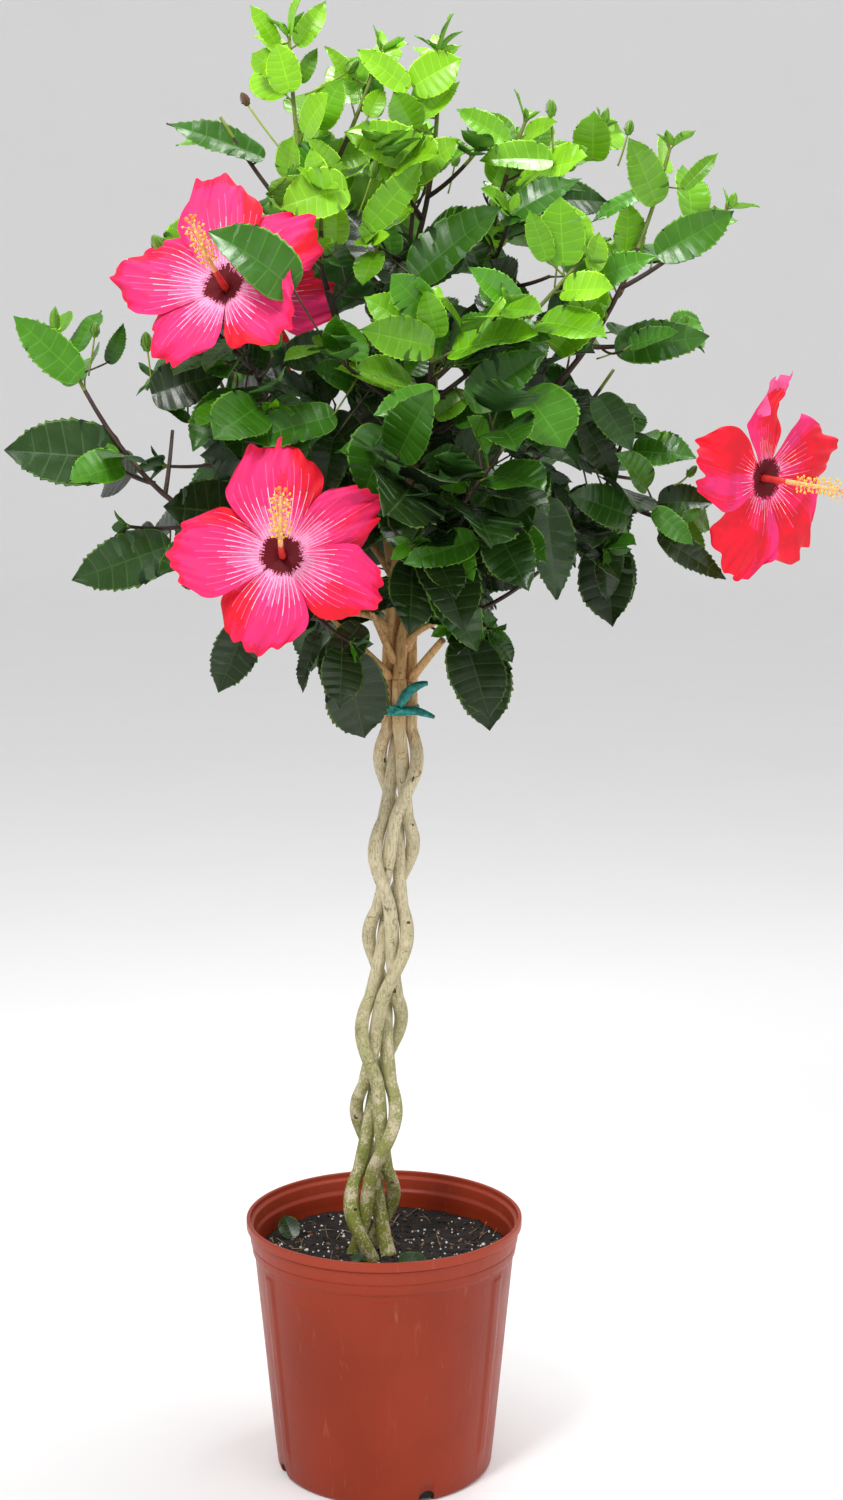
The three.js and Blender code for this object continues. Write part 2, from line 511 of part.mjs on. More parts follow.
/** The curves of every shoot in a mass. Each bends upward on its way to its tip. */
function layShoots(mass) {
  const bough = boughs.get(mass.bough).curve;
  const way = bough.getTangentAt(1);
  const root = bough.getPointAt(1).addScaledVector(way, GAP);
  let leader;
  return mass.shoots.map((shoot) => {
    const tip = vec(shoot.tip);
    const start = leader ? pointOn(leader.getSpacedPoints(TWIG.steps), shoot.fork) : root;
    const reach = start.distanceTo(tip);
    const bend = leader
      ? start.clone().lerp(tip, 0.5).addScaledVector(UP, -BEND.side * reach)
      : start.clone().addScaledVector(way, BEND.leader * reach);
    const curve = new THREE.QuadraticBezierCurve3(start, bend, tip);
    const thick = leader ? TWIG.side : TWIG.leader;
    leader ??= curve;
    const line = curve.getSpacedPoints(TWIG.steps);
    return { ...shoot, curve, line, radiusAt: (t) => mix(thick, TWIG.tip, t) };
  });
}

const masses = FOLIAGE.map((mass, index) => ({ ...mass, index, shoots: layShoots(mass) }));

/** A bloom's own axes: face looks out of the flower, and side and top span its disc. */
function bloomFrame(bloom) {
  const face = vec(bloom.face).normalize();
  const side = new THREE.Vector3().crossVectors(face, UP).normalize();
  const top = new THREE.Vector3().crossVectors(side, face);
  return { at: vec(bloom.at), face, side, top };
}

/** The bloom's stalk: on from its shoot's tip and into the back of the calyx. */
function stalkCurve(name) {
  const shoot = masses.flatMap((mass) => mass.shoots).find((s) => s.bears === name);
  const { at, face } = bloomFrame(BLOOMS[name]);
  const way = shoot.curve.getTangentAt(1);
  const start = shoot.curve.getPointAt(1).addScaledVector(way, GAP);
  const end = at.clone().addScaledVector(face, -BLOOM.calyx * 0.8);
  const pull = start.distanceTo(end) * BEND.stalk;
  return new THREE.CubicBezierCurve3(
    start, start.clone().addScaledVector(way, pull), end.clone().addScaledVector(face, -pull), end,
  );
}

const stalks = Object.fromEntries(Object.keys(BLOOMS).map((name) => [name, stalkCurve(name)]));

/** The shortest distance from a point to a line of points. */
function distanceToLine(point, line) {
  let least = Infinity;
  for (let i = 1; i < line.length; i++) {
    const along = line[i].clone().sub(line[i - 1]);
    const share = clamp01(point.clone().sub(line[i - 1]).dot(along) / along.lengthSq());
    least = Math.min(least, point.distanceTo(line[i - 1].clone().addScaledVector(along, share)));
  }
  return least;
}

const trunkLine = [vec([plaitAxis(SOIL_TOP), 0, SOIL_TOP]), vec([plaitAxis(FORK), 0, FORK + 10])];
const limbLines = [
  { line: trunkLine, room: TRUNK_ROOM },
  ...[...boughs.values()].map((b) => ({ line: b.curve.getPoints(8), room: b.radius[0] + CLEAR.limb })),
  ...Object.values(stalks).map((curve) => ({ line: curve.getPoints(8), room: TWIG.side + CLEAR.limb })),
];

/** True if a point lies in the room that a bloom takes. */
function inBloom(point, bloom) {
  const { at, face } = bloomFrame(bloom);
  const offset = point.clone().sub(at);
  const ahead = offset.dot(face);
  const across = offset.addScaledVector(face, -ahead).length();
  const byDisc = ahead > -BLOOM_ROOM.behind && ahead < BLOOM_ROOM.ahead;
  const byColumn = ahead > -BLOOM_ROOM.stalkEnd && ahead < BLOOM.column + BLOOM_ROOM.columnEnd;
  return (byDisc && across < BLOOM.radius + CLEAR.bloom) || (byColumn && across < BLOOM_ROOM.throat);
}

/** True if a point would hide one of the openings from the front. */
function inOpening(point) {
  const nearer = FRONT_VIEW.distance / (FRONT_VIEW.distance + point.y);
  const across = FRONT_VIEW.x + (point.x - FRONT_VIEW.x) * nearer;
  const height = FRONT_VIEW.z + (point.z - FRONT_VIEW.z) * nearer;
  return OPENINGS.some(([x, z, radius]) => Math.hypot(across - x, height - z) < radius);
}

/** True if a point lies in the space of a mass: nearest to its own shoots, and clear of all else. */
function inSpace(point, mass) {
  const nearest = (shoots) => Math.min(...shoots.map((shoot) => distanceToLine(point, shoot.line)));
  if (inOpening(point)) return false;
  if (limbLines.some(({ line, room }) => distanceToLine(point, line) < room)) return false;
  if (Object.values(BLOOMS).some((bloom) => inBloom(point, bloom))) return false;
  const own = nearest(mass.shoots);
  return masses.every((other) => other === mass || own + CLEAR.space < nearest(other.shoots));
}

// A leaf's corners: root ring, ring at the blade's foot, rib above and below, sides and tip.
const LEAF_SIDES = [[0.28, 0.47], [0.66, 0.37], [1, 0], [0.66, -0.37], [0.28, -0.47]];
const LEAF_FACES = [
  [0, 3, 4], [0, 4, 1], [1, 4, 5], [1, 5, 2], [2, 5, 3], [2, 3, 0], [0, 1, 2], // stalk
  [6, 10, 9], [6, 9, 8], [6, 8, 4], [6, 4, 3], [6, 3, 5], [6, 5, 12], [6, 12, 11], [6, 11, 10], // upper side
  [7, 9, 10], [7, 8, 9], [7, 4, 8], [7, 5, 4], [7, 12, 5], [7, 11, 12], [7, 10, 11], // underside
];

/** A point on a leaf's blade, at a share of its length and of its width. */
function bladePoint(leaf, along, across) {
  const fold = LEAF.fold * Math.abs(across) * leaf.width;
  const droop = LEAF.droop * along * along * leaf.length;
  return leaf.base.clone()
    .addScaledVector(leaf.way, along * leaf.length)
    .addScaledVector(leaf.side, across * leaf.width)
    .addScaledVector(leaf.normal, fold - droop);
}

/** Where leaf number j of a shoot would go, on one of its tries. */
function leafAt(shoot, j, attempt, phase, vigour) {
  const share = mix(LEAF.firstShare, 1, (j / Math.max(1, shoot.leaves - 1)) ** 0.85);
  const root = pointOn(shoot.line, share * 0.985);
  const tangent = shoot.curve.getTangentAt(share);
  const aside = Math.abs(tangent.z) > 0.95 ? vec([0, 1, 0]) : UP;
  const level = new THREE.Vector3().crossVectors(tangent, aside).normalize();
  const rise = new THREE.Vector3().crossVectors(tangent, level);
  const angle = phase + (j + attempt * RETRY.turn) * LEAF.phyllotaxis;
  const radial = level.multiplyScalar(Math.cos(angle)).addScaledVector(rise, Math.sin(angle));
  const length = shoot.blade * (1 - 0.5 * share ** 3) * mix(0.88, 1.1, vigour) * (1 - RETRY.shrink * attempt);
  const lean = mix(0.55, 1.1, share ** 3);
  const stalkWay = radial.clone().addScaledVector(tangent, lean).addScaledVector(UP, 0.12).normalize();
  const base = root.clone().addScaledVector(stalkWay, LEAF.petioleShare * length * (1 - 0.5 * share ** 4));
  const hang = mix(0.1, 0.75, shoot.age * (1 - 0.6 * share));
  const way = stalkWay.clone().addScaledVector(UP, -hang).normalize();
  const outward = vec([0.4 * (root.x - HEART.x), 2.6 * (root.y - HEART.y), 0]).normalize();
  const facing = UP.clone().multiplyScalar(0.62).addScaledVector(outward, 0.78);
  facing.addScaledVector(way, -facing.dot(way));
  const flat = new THREE.Vector3().crossVectors(facing.normalize(), way);
  const roll = (vigour - 0.5) * LEAF.roll;
  const normal = facing.clone().multiplyScalar(Math.cos(roll)).addScaledVector(flat, Math.sin(roll));
  const side = new THREE.Vector3().crossVectors(normal, way);
  const width = length * LEAF.widthShare * mix(0.92, 1.08, vigour);
  return { root, base, way, normal, side, length, width };
}

/** The point at a depth that is seen from the front at a place across and a height. */
function seenAt(across, height, depth) {
  const further = (FRONT_VIEW.distance + depth) / FRONT_VIEW.distance;
  const x = mix(FRONT_VIEW.x, across, further);
  const z = mix(FRONT_VIEW.z, height, further);
  return new THREE.Vector3(x, depth, z);
}

/** The point of a line that is nearest to another point. */
function nearestOn(line, point) {
  const places = Array.from({ length: ROOTS.steps + 1 }, (_, i) =>
    pointOn(line, (i / ROOTS.steps) * ROOTS.end));
  return places.reduce((a, b) => (a.distanceTo(point) < b.distanceTo(point) ? a : b));
}

/** One of the placed leaves. It grows from the nearest point of any shoot, and that shoot's mass owns it. */
function placedLeaf([footAcross, footHeight, tipAcross, tipHeight, footDepth, tipDepth, widthShare], index) {
  const base = seenAt(footAcross, footHeight, footDepth);
  const tip = seenAt(tipAcross, tipHeight, tipDepth);
  const roots = masses.flatMap((mass) =>
    mass.shoots.map((shoot, s) => ({ mass, s, root: nearestOn(shoot.line, base) })));
  const own = roots.reduce((a, b) => (a.root.distanceTo(base) < b.root.distanceTo(base) ? a : b));
  const length = base.distanceTo(tip);
  const way = tip.sub(base).normalize();
  const sway = FACING.sway * Math.sin(FACING.swayStep * index);
  const facing = vec([sway, -1, FACING.rise + FACING.riseSwing * Math.cos(FACING.riseStep * index)]);
  const normal = facing.addScaledVector(way, -facing.dot(way)).normalize();
  const side = new THREE.Vector3().crossVectors(normal, way);
  return { ...own, base, way, normal, side, length, width: length * widthShare };
}

/** A leaf as one closed solid: a three-sided stalk that opens into a blade folded along its rib. */
function leafSolid(leaf, pad = 0) {
  const ring = (centre, radius) => [90, 210, 330].map((degrees) => {
    const angle = (degrees / 360) * TURN;
    return centre.clone()
      .addScaledVector(leaf.side, -radius * Math.cos(angle))
      .addScaledVector(leaf.normal, radius * Math.sin(angle));
  });
  const thick = Math.max(1, LEAF.thickShare * leaf.length) / 2 + pad;
  const middle = bladePoint(leaf, LEAF.ribShare, 0);
  const rib = [1, -1].map((up) => middle.clone().addScaledVector(leaf.normal, up * thick));
  const corners = [
    ...ring(leaf.root, TWIG.petiole * 0.7 + pad), ...ring(leaf.base, TWIG.petiole + pad), ...rib,
    ...LEAF_SIDES.map(([along, across]) => bladePoint(leaf, along, across)),
  ];
  return solidOf(new THREE.BufferGeometry().setFromPoints(corners).setIndex(LEAF_FACES.flat()));
}

/** A placed leaf: a blade on a short stub, and a stalk that may come from any side. */
function placedSolid(leaf, pad = 0) {
  const root = leaf.base.clone().addScaledVector(leaf.way, -STUB);
  const foot = leaf.base.clone().addScaledVector(leaf.way, STUB / 2);
  const stalk = limb(new THREE.LineCurve3(leaf.root, foot), () => TWIG.petiole + pad, TWIG.sides + 1, 1);
  return leafSolid({ ...leaf, root }, pad).add(solidOf(stalk));
}

/** A placed leaf grown a little on every side, to test what comes near it. */
function paddedSolid(leaf) {
  const moved = (across, up) =>
    leaf.base.clone().addScaledVector(leaf.side, across * PAD).addScaledVector(leaf.normal, up * PAD);
  const spread = [[-1, -1], [-1, 1], [1, -1], [1, 1]].map(([across, up]) =>
    placedSolid({ ...leaf, base: moved(across, up), length: leaf.length + PAD }, PAD));
  return Manifold.union(spread);
}

const boxesMeet = (a, b) => [0, 1, 2].every((i) => a.min[i] < b.max[i] && b.min[i] < a.max[i]);

/** The volume that two solids share. */
function shared(a, b) {
  return boxesMeet(a.boundingBox(), b.boundingBox()) ? a.intersect(b).volume() : 0;
}

/** True if the whole leaf, stalk and blade, keeps to the mass's space. */
function keepsToSpace(leaf, mass) {
  const stalk = [0.5, 1].map((share) => leaf.root.clone().lerp(leaf.base, share));
  const blade = [0.15, 0.4, 0.7].flatMap((along) =>
    [-0.44, -0.22, 0, 0.22, 0.44].map((across) => bladePoint(leaf, along, across)));
  return [...stalk, ...blade, bladePoint(leaf, 1, 0)].every((point) => inSpace(point, mass));
}

const twigsOf = new Map(masses.map((mass) =>
  [mass, mass.shoots.map((shoot) => solidOf(limb(shoot.curve, shoot.radiusAt, TWIG.sides, TWIG.steps)))]));

/** The placed leaves that find room among the other solids, the twigs and each other. */
function growPlaced(obstacles) {
  const placed = [];
  for (const leaf of PLACED.map(placedLeaf)) {
    const padded = paddedSolid(leaf);
    const crossesTwig = masses.some((mass) => twigsOf.get(mass).some((twig, t) => {
      const own = mass === leaf.mass && t === leaf.s;
      return own ? shared(placedSolid(leaf), twig) > ROOT_OVERLAP : shared(padded, twig) > 0;
    }));
    if (crossesTwig || obstacles.some((obstacle) => shared(padded, obstacle) > 0)) continue;
    if (placed.some((other) => shared(padded, other.solid) > 0)) continue;
    placed.push({ ...leaf, padded, solid: placedSolid(leaf) });
  }
  return placed;
}

/** Every leaf of a mass, by the seeded rule. A leaf that finds no room on its tries is skipped. */
function growLeaves(mass, twigs, neighbours, own) {
  const random = seeded(mass.index + 1);
  const placed = [...own];
  mass.shoots.forEach((shoot, s) => {
    const phase = random() * TURN;
    for (let j = 0; j < shoot.leaves; j++) {
      const vigour = random();
      for (let attempt = 0; attempt < RETRY.tries; attempt++) {
        const leaf = leafAt(shoot, j, attempt, phase, vigour);
        if (!keepsToSpace(leaf, mass)) continue;
        const solid = leafSolid(leaf);
        if (placed.some((other) => shared(solid, other.solid) > 0)) continue;
        if (twigs.some((twig, t) => shared(solid, twig) > (t === s ? ROOT_OVERLAP : 0))) continue;
        if (neighbours.some((neighbour) => shared(solid, neighbour) > 0)) continue;
        placed.push({ ...leaf, solid });
        break;
      }
    }
  });
  return placed;
}

/** A mass of foliage as one solid: its shoots, its placed leaves, and every other leaf that found room. */
function massSolid(mass, neighbours, placed) {
  const twigs = twigsOf.get(mass);
  const own = placed.filter((leaf) => leaf.mass === mass);
  const others = placed.filter((leaf) => leaf.mass !== mass).map((leaf) => leaf.padded);
  const leaves = growLeaves(mass, twigs, [...neighbours, ...others], own).map((leaf) => leaf.solid);
  return Manifold.union([...twigs, ...leaves]).asOriginal().simplify(FINE);
}

// ---------------------------------------------------------------- blooms

/** A point of a petal, with u from -1 to 1 across it and v from 0 to 1 out from the throat. */
function petalPoint(frame, petal, u, v) {
  const turn = frame.turn + (petal / BLOOM.petals) * TURN;
  const [c, s] = [Math.cos(turn), Math.sin(turn)];
  const out = frame.top.clone().multiplyScalar(c).addScaledVector(frame.side, s);
  const across = frame.side.clone().multiplyScalar(c).addScaledVector(frame.top, -s);
  const halfWidth = BLOOM.petalHalfWidth * (0.12 + 0.88 * Math.sin(2.35 * v ** 0.9));
  const reach = mix(3, BLOOM.radius, v * (1 - 0.24 * u * u * v));
  const ahead = 13 * v ** 0.6 - 7 * v ** 3 + 6 * u * v - 5;
  return frame.at.clone()
    .addScaledVector(out, reach)
    .addScaledVector(across, u * halfWidth)
    .addScaledVector(frame.face, ahead);
}

/** A bloom: five overlapping petals, the column of stamens, the calyx and the stalk. */
function bloomSolid(name) {
  const bloom = BLOOMS[name];
  const frame = { ...bloomFrame(bloom), turn: (bloom.turn / 360) * TURN };
  const along = (ahead) => frame.at.clone().addScaledVector(frame.face, ahead);
  const petals = Array.from({ length: BLOOM.petals }, (_, petal) =>
    reshaped(new THREE.BoxGeometry(2, 1, BLOOM.petalThick, 2, 3, 1), (p) =>
      petalPoint(frame, petal, p.x, p.y + 0.5).addScaledVector(frame.face, p.z)));
  const column = limb(new THREE.LineCurve3(along(-6), along(BLOOM.column)), (t) =>
    (t > 0.6 && t < 0.95 ? 6 : 2.2), 5, 4);
  const calyx = limb(new THREE.LineCurve3(along(-BLOOM.calyx), along(0)), (t) => mix(4, 8.5, t), 6, 1);
  const stalk = limb(stalks[name], () => TWIG.side, TWIG.sides, 5);
  return Manifold.union([...petals, column, calyx, stalk].map(solidOf)).asOriginal().simplify(FINE);
}

// ---------------------------------------------------------------- the whole plant

const solids = new Map([["pot", pot()], ["potting_mix", soil()], ["tie_tape", tie()]]);
for (const stem of STEMS) solids.set(stem.name, stemSolid(stem));
for (const bough of boughs.values()) solids.set(bough.name, boughSolid(bough));
for (const name of Object.keys(BLOOMS)) solids.set(name, bloomSolid(name));
const placed = growPlaced([...solids.values()]);
for (const mass of masses) solids.set(mass.name, massSolid(mass, [...solids.values()], placed));

const FINISH = [
  [/^pot$/, COLOUR.pot, 0.45],
  [/^potting_mix$/, COLOUR.soil, 0.95],
  [/^tie_/, COLOUR.tie, 0.6],
  [/^stem_/, COLOUR.bark, 0.8],
  [/^bough_/, COLOUR.twig, 0.8],
  [/^bloom_/, COLOUR.petal, 0.6],
  [/^foliage_.*top/, COLOUR.youngLeaf, 0.5],
  [/^foliage_/, COLOUR.leaf, 0.5],
];

const plant = new THREE.Group();
for (const [name, solid] of solids) {
  const [, color, roughness] = FINISH.find(([pattern]) => pattern.test(name));
  plant.add(meshOf(name, solid, color, roughness));
}

export default plant;
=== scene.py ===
import math

import bmesh
import bpy
import numpy as np
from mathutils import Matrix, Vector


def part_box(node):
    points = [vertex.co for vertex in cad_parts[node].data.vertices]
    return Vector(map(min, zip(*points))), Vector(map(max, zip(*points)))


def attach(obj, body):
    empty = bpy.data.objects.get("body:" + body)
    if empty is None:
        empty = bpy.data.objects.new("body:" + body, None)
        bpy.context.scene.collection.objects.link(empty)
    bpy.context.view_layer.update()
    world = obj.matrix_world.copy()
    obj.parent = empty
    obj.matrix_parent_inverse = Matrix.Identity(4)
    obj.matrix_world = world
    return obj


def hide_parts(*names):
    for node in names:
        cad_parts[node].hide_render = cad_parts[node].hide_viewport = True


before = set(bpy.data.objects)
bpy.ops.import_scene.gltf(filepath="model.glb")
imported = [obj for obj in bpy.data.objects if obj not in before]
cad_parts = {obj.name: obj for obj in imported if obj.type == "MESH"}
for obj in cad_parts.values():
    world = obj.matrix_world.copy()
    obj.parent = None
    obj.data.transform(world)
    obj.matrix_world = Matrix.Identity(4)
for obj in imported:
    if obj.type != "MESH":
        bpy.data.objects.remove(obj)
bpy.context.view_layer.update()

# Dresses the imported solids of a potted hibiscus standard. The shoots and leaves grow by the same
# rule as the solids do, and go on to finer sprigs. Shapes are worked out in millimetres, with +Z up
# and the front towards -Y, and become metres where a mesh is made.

bl_info = {
    "name": "Potted Hibiscus Standard",
    "version": (1, 0, 0),
    "blender": (4, 5, 0),
    "location": "View3D > Sidebar > Hibiscus",
    "description": "Builds the pot, plaited stems, boughs, leaves and flowers of a potted hibiscus",
    "category": "Add Mesh",
}

MM = 0.001
TURN = 2 * math.pi
UP = np.array([0.0, 0.0, 1.0])

# ---------------- sizes shared with the solids

GAP = 0.3
POT = {"height": 240, "foot": 101.4, "taper": 0.0974, "wall": 2.2, "floor": 3, "bevel": 3}
BANDS = {"low": 207, "step": 217.5, "high": 230, "low_proud": 1.8, "high_proud": 2.6}
LIP = {"low": 231.5, "radius": 129, "width": 3.7}
RIB = {"face": 2.6, "foot": 4.2, "low": 30, "high": 200}
DRAIN = {"count": 4, "radius": 8, "height": 3.5, "depth": 24, "first_angle": -67}
SOIL_TOP = 202
SOIL_BANK = {"radius": 70, "rise": 3}
STEM = {"base": 7.1, "top": 6.2, "flare": 1.2, "flare_height": 13}
PLAIT = {
    "crossings": 6, "end": 700, "slack": 1.06, "square": 1.5,
    "spread": 0.5, "spread_height": 45, "start_lean": -12, "end_lean": 15,
}
FORK = 742
TRUNK_ROOM = 27
TIE = {"low": 713, "height": 9, "knot_height": 718, "knot_proud": 2.2}

# Bare side branches just over the tie, which the solids don't have: three points along each, then
# the radius at its foot and at its end.
FORK_BRANCHES = [
    [(6, -8, 748), (-14, -34, 772), (-48, -58, 808), 4.6, 1.6],
    [(10, -10, 762), (-2, -34, 792), (-22, -58, 838), 4.0, 1.4],
    [(26, -8, 746), (38, -28, 764), (54, -42, 784), 4.4, 3.2],
    [(22, -6, 772), (40, -26, 812), (60, -40, 856), 3.8, 1.4],
    [(16, 8, 758), (22, 32, 800), (36, 58, 852), 4.0, 1.4],
]
FORK_BRANCH_MESH = {"rings": 16, "sides": 10}

BEND ={"bough": 0.42, "leader": 0.4, "side": 0.1, "stalk": 0.4}
BLOOM = {"radius": 93, "petals": 5, "column": 66, "calyx": 24}
BLOOM_ROOM = {"behind": 16, "ahead": 30, "throat": 16, "stalk_end": 30, "column_end": 12}
TWIG = {"leader": 2.8, "side": 2.3, "tip": 1.6, "steps": 4}
LEAF = {
    "width_share": 0.7, "half_width": 0.48, "petiole_share": 0.3, "fold": 0.16, "droop": 0.1,
    "roll": 1.1, "phyllotaxis": 137.5 / 360 * TURN, "first_share": 0.26, "round": 0.5, "point": 0.92,
}
RETRY = {"tries": 12, "turn": 0.618, "shrink": 0.04}
CLEAR = {"space": 3.4, "limb": 2.2, "bloom": 4, "leaf": 1.2}
HEART = (15, 40)
FRONT_VIEW = {"x": 35, "z": 950, "distance": 2000}

# Openings in the crown that leaves keep off as seen from the front: place across, height and radius.
# The first two let the bare fork show, and the sky shows through the rest.
OPENINGS = np.array([
    (-16, 784, 12), (46, 770, 11),
    (-150, 1262, 28), (-150, 1310, 30), (-98, 1236, 18), (-122, 1198, 24), (-52, 1284, 8), (-15, 1322, 18),
    (25, 1335, 26), (-34, 1244, 8), (92, 1290, 26), (58, 1242, 15), (62, 1178, 18), (82, 1198, 9),
    (128, 1260, 22), (168, 1228, 11), (186, 1272, 20), (208, 1250, 14), (205, 1190, 17), (250, 1244, 18),
    (270, 1214, 11), (304, 1198, 26), (338, 1178, 34), (256, 1150, 11), (322, 1112, 24), (240, 1086, 24),
    (278, 1096, 24), (128, 1118, 13), (141, 1098, 11), (72, 1092, 14), (-22, 1068, 8), (185, 1020, 13),
    (216, 1012, 16), (244, 1002, 14), (300, 1010, 26), (252, 982, 16), (286, 962, 18), (197, 962, 8),
    (166, 932, 9), (107, 946, 7), (66, 1016, 8), (226, 926, 9), (232, 885, 8), (240, 850, 17),
    (264, 816, 24), (162, 786, 40), (152, 836, 15), (112, 820, 13), (-222, 1058, 17), (-216, 1032, 12),
    (-285, 1092, 20), (-304, 1074, 16), (-322, 1030, 12), (-348, 1012, 26), (-302, 998, 22),
    (-256, 985, 23), (-228, 964, 15), (-192, 970, 19), (-178, 936, 11), (-158, 1008, 11), (-222, 906, 16),
    (-244, 890, 16), (-304, 882, 36), (-304, 816, 32), (-232, 800, 24), (-188, 796, 24), (-158, 812, 16),
    (-96, 778, 12), (-92, 738, 22), (-96, 700, 26), (-160, 700, 26), (-36, 672, 18),
])

# The leaves that lie round the openings, as seen from the front: foot across and height, tip across
# and height, depth of foot and of tip, width share and age. The last one hangs before a bloom.
PLACED = [
    (-91, 1301, -114, 1336, -6, -14, 0.45, 0.05), (-74, 1301, -48, 1339, -20, -28, 0.45, 0.05),
    (-80, 1262, -92, 1304, -26, -38, 0.75, 0.15), (-71, 1270, -57, 1300, -8, -14, 0.45, 0.2),
    (-103, 1206, -187, 1241, -16, -30, 0.36, 0.6), (-57, 1232, -36, 1274, -24, -36, 0.75, 0.2),
    (-6, 1240, -8, 1290, -8, -12, 0.45, 0.35), (-24, 1272, -49, 1302, -20, -26, 0.4, 0.08),
    (24, 1264, -19, 1300, -30, -44, 0.5, 0.12), (27, 1266, 68, 1292, -20, -34, 0.8, 0.1),
    (40, 1284, 69, 1305, -10, -8, 0.4, 0.15), (35, 1240, 68, 1272, -14, -20, 0.42, 0.15),
    (29, 1230, 11, 1262, -26, -40, 0.85, 0.3), (37, 1208, -30, 1231, -44, -62, 0.58, 0.18),
    (37, 1194, 72, 1221, -24, -30, 0.4, 0.42), (-38, 1192, -64, 1223, -40, -56, 0.5, 0.15),
    (-30, 1179, -90, 1167, -84, -96, 0.78, 0.1), (-14, 1145, 36, 1201, -62, -84, 0.4, 0.15),
    (27, 1102, 103, 1166, -70, -92, 0.6, 0.5), (112, 1219, 68, 1249, -22, -34, 0.5, 0.28),
    (50, 1050, 38, 1092, -104, -122, 0.6, 0.14), (46, 1042, -18, 1057, -114, -136, 0.6, 0.2),
    (150, 1204, 88, 1209, -40, -56, 0.58, 0.25), (186, 1203, 185, 1245, -8, -22, 0.85, 0.28),
    (243, 1166, 219, 1223, -24, -40, 0.6, 0.2), (265, 1178, 296, 1211, -26, -32, 0.36, 0.24),
    (231, 1177, 186, 1157, -20, -34, 0.35, 0.44), (243, 1122, 312, 1159, -24, -36, 0.5, 0.34),
    (177, 1095, 241, 1126, -64, -78, 0.42, 0.26), (154, 1037, 201, 1096, -84, -106, 0.5, 0.18),
    (125, 1070, 82, 1114, -100, -122, 0.5, 0.34), (147, 1117, 130, 1161, -96, -108, 0.5, 0.2),
    (176, 1103, 151, 1170, -52, -66, 0.5, 0.46), (104, 1151, 172, 1194, -56, -70, 0.45, 0.46),
    (207, 1041, 291, 1053, -24, -36, 0.5, 0.46), (188, 1036, 259, 1008, -28, -36, 0.24, 0.9),
    (77, 991, 141, 1038, -112, -134, 0.58, 0.42), (128, 1002, 165, 955, -114, -134, 1.05, 0.28),
    (193, 999, 224, 951, -62, -78, 0.58, 0.55), (181, 974, 211, 923, -50, -64, 0.5, 0.9),
    (238, 917, 214, 950, -66, -84, 0.75, 0.42), (92, 872, 138, 906, -132, -152, 1, 0.46),
    (146, 908, 159, 817, -104, -118, 0.5, 0.6), (223, 892, 171, 914, -72, -92, 0.65, 0.55),
    (201, 869, 207, 792, -48, -60, 0.72, 0.85), (248, 875, 311, 836, -58, -62, 0.38, 0.85),
    (244, 898, 280, 866, -80, -96, 0.45, 0.3), (85, 871, 19, 851, -132, -150, 0.5, 0.42),
    (50, 841, 87, 771, -96, -112, 0.62, 0.6), (-269, 1014, -328, 1069, -48, -60, 0.46, 0.32),
    (-244, 1027, -228, 1061, -20, -24, 0.42, 0.4), (-234, 942, -339, 953, -46, -62, 0.64, 0.52),
    (-233, 937, -282, 926, -74, -90, 0.95, 0.25), (-190, 866, -281, 834, -48, -66, 0.54, 0.6),
    (-206, 1000, -142, 1022, -50, -58, 0.7, 0.8), (-42, 982, -124, 961, -112, -130, 0.54, 0.34),
    (-172, 976, -200, 994, -44, -52, 0.4, 0.5), (40, 888, -36, 852, -128, -146, 0.52, 0.55),
    (3, 970, -16, 908, -122, -142, 0.9, 0.46), (-44, 962, -55, 908, -86, -102, 0.65, 0.5),
    (50, 1002, -7, 987, -122, -142, 0.48, 0.2), (-122, 798, -150, 732, -70, -80, 0.6, 0.85),
    (-58, 788, -80, 735, -72, -80, 0.36, 0.85), (-20, 795, -50, 745, -84, -96, 0.62, 0.7),
    (-78, 1092, -146, 1150, -142, -168, 0.64, 0.42),
]
ROOTS = {"steps": 40, "end": 0.98}
FACING = {"sway": 0.35, "sway_step": 2.4, "rise": 0.45, "rise_swing": 0.3, "rise_step": 1.7}

# name, stem or older bough, share of that bough, tip, radius at the start and at the tip
BOUGHS = [
    ("bough_left", "stem_left", None, (-48, -8, 1090), (6.2, 3.2)),
    ("bough_front", "stem_front", None, (32, -62, 955), (6.2, 3.2)),
    ("bough_right", "stem_right", None, (152, -10, 1005), (6.2, 3.2)),
    ("bough_back", "stem_back", None, (22, 78, 1070), (6.2, 3.2)),
    ("bough_upper_left", "bough_left", 0.45, (-100, -42, 1012), (3.3, 2.5)),
    ("bough_lower_left", "bough_left", 0.14, (-128, -34, 878), (3.9, 2.6)),
    ("bough_front_left", "bough_front", 0.2, (-46, -66, 806), (3.6, 2.5)),
    ("bough_centre", "bough_left", 0.62, (22, 4, 1108), (3.2, 2.5)),
    ("bough_top_right", "bough_right", 0.6, (94, 4, 1086), (3.2, 2.5)),
    ("bough_mid_front", "bough_front", 0.42, (38, -78, 872), (3.1, 2.5)),
    ("bough_lower_right", "bough_right", 0.24, (156, -24, 884), (3.8, 2.6)),
    ("bough_front_right", "bough_right", 0.1, (70, -40, 806), (3.3, 2.4)),
    ("bough_back_left", "bough_left", 0.26, (-84, 76, 922), (3.7, 2.6)),
    ("bough_back_right", "bough_back", 0.34, (118, 84, 930), (3.6, 2.6)),
    ("bough_low_back", "bough_back", 0.12, (14, 66, 826), (3.3, 2.4)),
]

